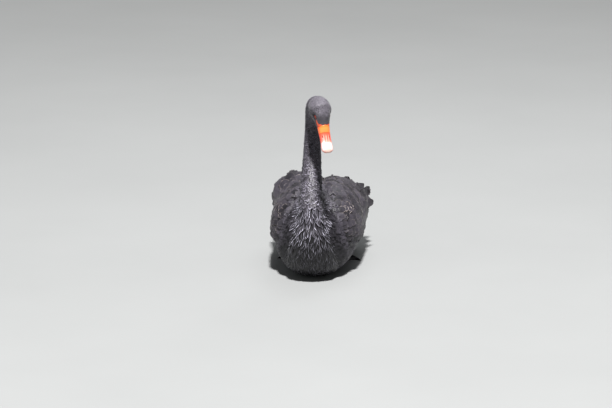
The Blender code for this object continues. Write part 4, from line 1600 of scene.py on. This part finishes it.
def foot_skin(side, sign, material):
    """One foot and its leg as a single smooth skin."""
    heel = HEEL * (sign, 1, 1)
    corners, triangles, _ = joined((f"foot_{side}", f"leg_{side}"))
    knob, faces = ankle(heel)
    corners, triangles = np.vstack((corners, knob)), np.vstack((triangles, faces + len(corners)))
    mesh = remeshed(corners, triangles, FOOT_VOXEL)
    points, _ = arrays_of(mesh)
    points = smoothed(points, neighbours(mesh), 4)
    points[:, 2] = np.maximum(points[:, 2], 0.0003)
    offset = points[:, :2] - heel[:2]
    toe = np.zeros(len(points))
    for _, degrees, _ in TOES:
        way = toe_way(degrees, sign)[:2]
        aside = np.linalg.norm(offset - (offset @ way)[:, None] * way, axis=1)
        toe = np.maximum(toe, ease(aside, 0.0060, 0.0035))
    mesh = quad_mesh(f"foot_skin_{side}", points, quads_of(mesh))
    add_value(mesh, "toe", toe * ease(points[:, 1], heel[1] + 0.002, heel[1] - 0.006))
    add_value(mesh, "reach", np.linalg.norm(offset, axis=1))
    object_from(mesh.name, mesh, material, "foot_black", f"foot_{side}", f"leg_{side}")


def claw(name, tip, way):
    """A short claw that bends down from the end of a toe."""
    # Rings from its root, inside the toe, to its tip
    share = np.linspace(0, 1, 14)[:, None, None]
    turn = np.linspace(0, 2 * math.pi, CLAW_SIDES, endpoint=False)[None, :, None]
    across, up = np.cross(way, (0, 0, 1)), np.array((0, 0, 1))
    middle = tip + way * CLAW_LENGTH * (share - 0.42) - up * 0.0024 * share**2
    radius = CLAW_RADIUS * (1 - share) ** 0.75 + 0.0001
    rings = middle + radius * (np.cos(turn) * across * 0.9 + np.sin(turn) * up)
    rings[..., 2] = np.maximum(rings[..., 2], 0.0002)
    mesh = tube_mesh(name, rings)
    add_value(mesh, "share", np.append(np.repeat(share.ravel(), CLAW_SIDES), (0, 1)))
    return mesh


def make_feet():
    """The webbed feet tucked under the flanks, with their legs and claws."""
    skin, horn = foot_material(), claw_material()
    for side, sign in SIDES:
        foot_skin(side, sign, skin)
        for toe, degrees, reach in TOES:
            way = toe_way(degrees, sign)
            tip = HEEL * (sign, 1, 0) + way * reach + (0, 0, 0.0031)
            name = f"claw_{side}_{toe}"
            object_from(name, claw(name, tip, way), horn, "foot_black")


# Camera, floor and light


def make_camera():
    """The photo's view of the swan."""
    look = -Vector(heading(CAMERA_AZIMUTH, CAMERA_ELEVATION))
    right = look.cross(Vector((0, 0, 1))).normalized()
    up = right.cross(look)
    pixel = CAMERA_DISTANCE * SENSOR_WIDTH / (CAMERA_LENS * PICTURE[0])
    aside = (PICTURE[0] / 2 - BREAST_PIXEL[0]) * pixel
    below = (PICTURE[1] / 2 - BREAST_PIXEL[1]) * pixel
    target = BREAST_POINT + right * aside - up * below
    data = bpy.data.cameras.new("camera")
    data.lens = CAMERA_LENS
    data.sensor_width = SENSOR_WIDTH
    camera = bpy.data.objects.new("camera", data)
    camera.location = target - look * CAMERA_DISTANCE
    camera.rotation_euler = look.to_track_quat("-Z", "Y").to_euler()
    bpy.context.scene.collection.objects.link(camera)
    bpy.context.scene.camera = camera


def make_floor():
    """A pale floor that reaches past the view."""
    signs = ((-1, -1), (1, -1), (1, 1), (-1, 1))
    corners = [(x * FLOOR_HALF, y * FLOOR_HALF, 0) for x, y in signs]
    mesh = bpy.data.meshes.new("floor")
    mesh.from_pydata(corners, [], [(0, 1, 2, 3)])
    mesh.materials.append(floor_material())
    floor = bpy.data.objects.new("floor", mesh)
    bpy.context.scene.collection.objects.link(floor)


# The key light's side and height, and where it points
KEY_AZIMUTH = math.radians(8)
KEY_ELEVATION = math.radians(60)
KEY_DISTANCE = 13
KEY_TARGET = Vector((0, -0.15, 0.25))
KEY_PLACE = KEY_TARGET + Vector(heading(KEY_AZIMUTH, KEY_ELEVATION)) * KEY_DISTANCE
# Each light's name, place, what it points at, side, watts and colour
LIGHTS = (
    ("key", KEY_PLACE, KEY_TARGET, 0.94, 4350, (1.0, 0.985, 0.99)),
    ("fill", (-2.4, -2.2, 1.2), (0, 0, 0.2), 2.0, 5, (0.93, 0.96, 1.0)),
    ("top", (0.3, 1.4, 2.6), (0, 0.1, 0.2), 1.6, 24, (0.96, 0.98, 1.0)),
)
SURROUND = (0.93, 0.95, 0.97, 1)
SURROUND_STRENGTH = 0.18


def make_light():
    """A key light high in front, a weak fill on the swan's right, one behind it and a surround."""
    for name, place, target, size, power, colour in LIGHTS:
        data = bpy.data.lights.new(name, "AREA")
        data.size = size
        data.energy = power
        data.color = colour
        light = bpy.data.objects.new(name, data)
        light.location = place
        way = Vector(target) - Vector(place)
        light.rotation_euler = way.to_track_quat("-Z", "Y").to_euler()
        bpy.context.scene.collection.objects.link(light)
    world = bpy.data.worlds.new("surround")
    world.use_nodes = True
    background = world.node_tree.nodes["Background"]
    background.inputs["Color"].default_value = SURROUND
    background.inputs["Strength"].default_value = SURROUND_STRENGTH
    bpy.context.scene.world = world
    bpy.context.scene.view_settings.view_transform = "Standard"


# Each kind of feather: its dark, warm and pale colours, where its rim begins, how pale the rim
# gets, how many barbs it shows, and what else sets it apart
DARK, WARM = (0.009, 0.0084, 0.0108), (0.047, 0.0418, 0.053)
FEATHER_KINDS = {
    # The head's feathers are lighter than the rest of the black plumage: painted sheen of its gloss
    "head": ((0.050, 0.0455, 0.055), (0.120, 0.110, 0.131), (0.25, 0.234, 0.270), 0.45, 0.8, 8,
             {"sheen": 0.2}),
    "neck": ((0.013, 0.0120, 0.0150), (0.056, 0.051, 0.062), (0.32, 0.30, 0.365), 0.62, 0.8, 10,
             {"sheen": 0.04}),
    # The bib's bright silvery rims: pale feather edges with painted highlight
    "bib": (DARK, WARM, (0.62, 0.60, 0.71), 0.50, 1.0, 22, {"tip": 0.3}),
    "flank": (DARK, (0.058, 0.052, 0.066), (0.24, 0.222, 0.272), 0.66, 0.65, 22, {"tip": 0.5}),
    "wing": (DARK, WARM, (0.40, 0.34, 0.31), 0.88, 0.8, 32, {}),
    "plume": ((0.008, 0.0074, 0.0092), (0.036, 0.032, 0.039), (0.15, 0.132, 0.145), 0.88, 0.6, 60,
              {"roughness": 0.55}),
    "tail": ((0.010, 0.009, 0.010), (0.036, 0.030, 0.032), (0.14, 0.12, 0.11), 0.90, 0.6, 60, {}),
    "white": ((0.66, 0.65, 0.62), (0.80, 0.79, 0.76), (0.86, 0.85, 0.83), 0.9, 0.6, 50, {}),
}
MATERIALS = {
    kind: feather_material(f"feather_{kind}", *looks, **others)
    for kind, (*looks, others) in FEATHER_KINDS.items()
}


def main():
    """Builds the swan, then the camera, the floor and the light."""
    rng = np.random.default_rng(SEED)
    skin = make_skin()
    make_small_coat(skin, rng)
    make_wings(skin, rng)
    make_tail(skin, rng)
    make_primaries(rng)
    make_bill()
    make_eyes()
    make_feet()
    make_camera()
    make_floor()
    make_light()


main()
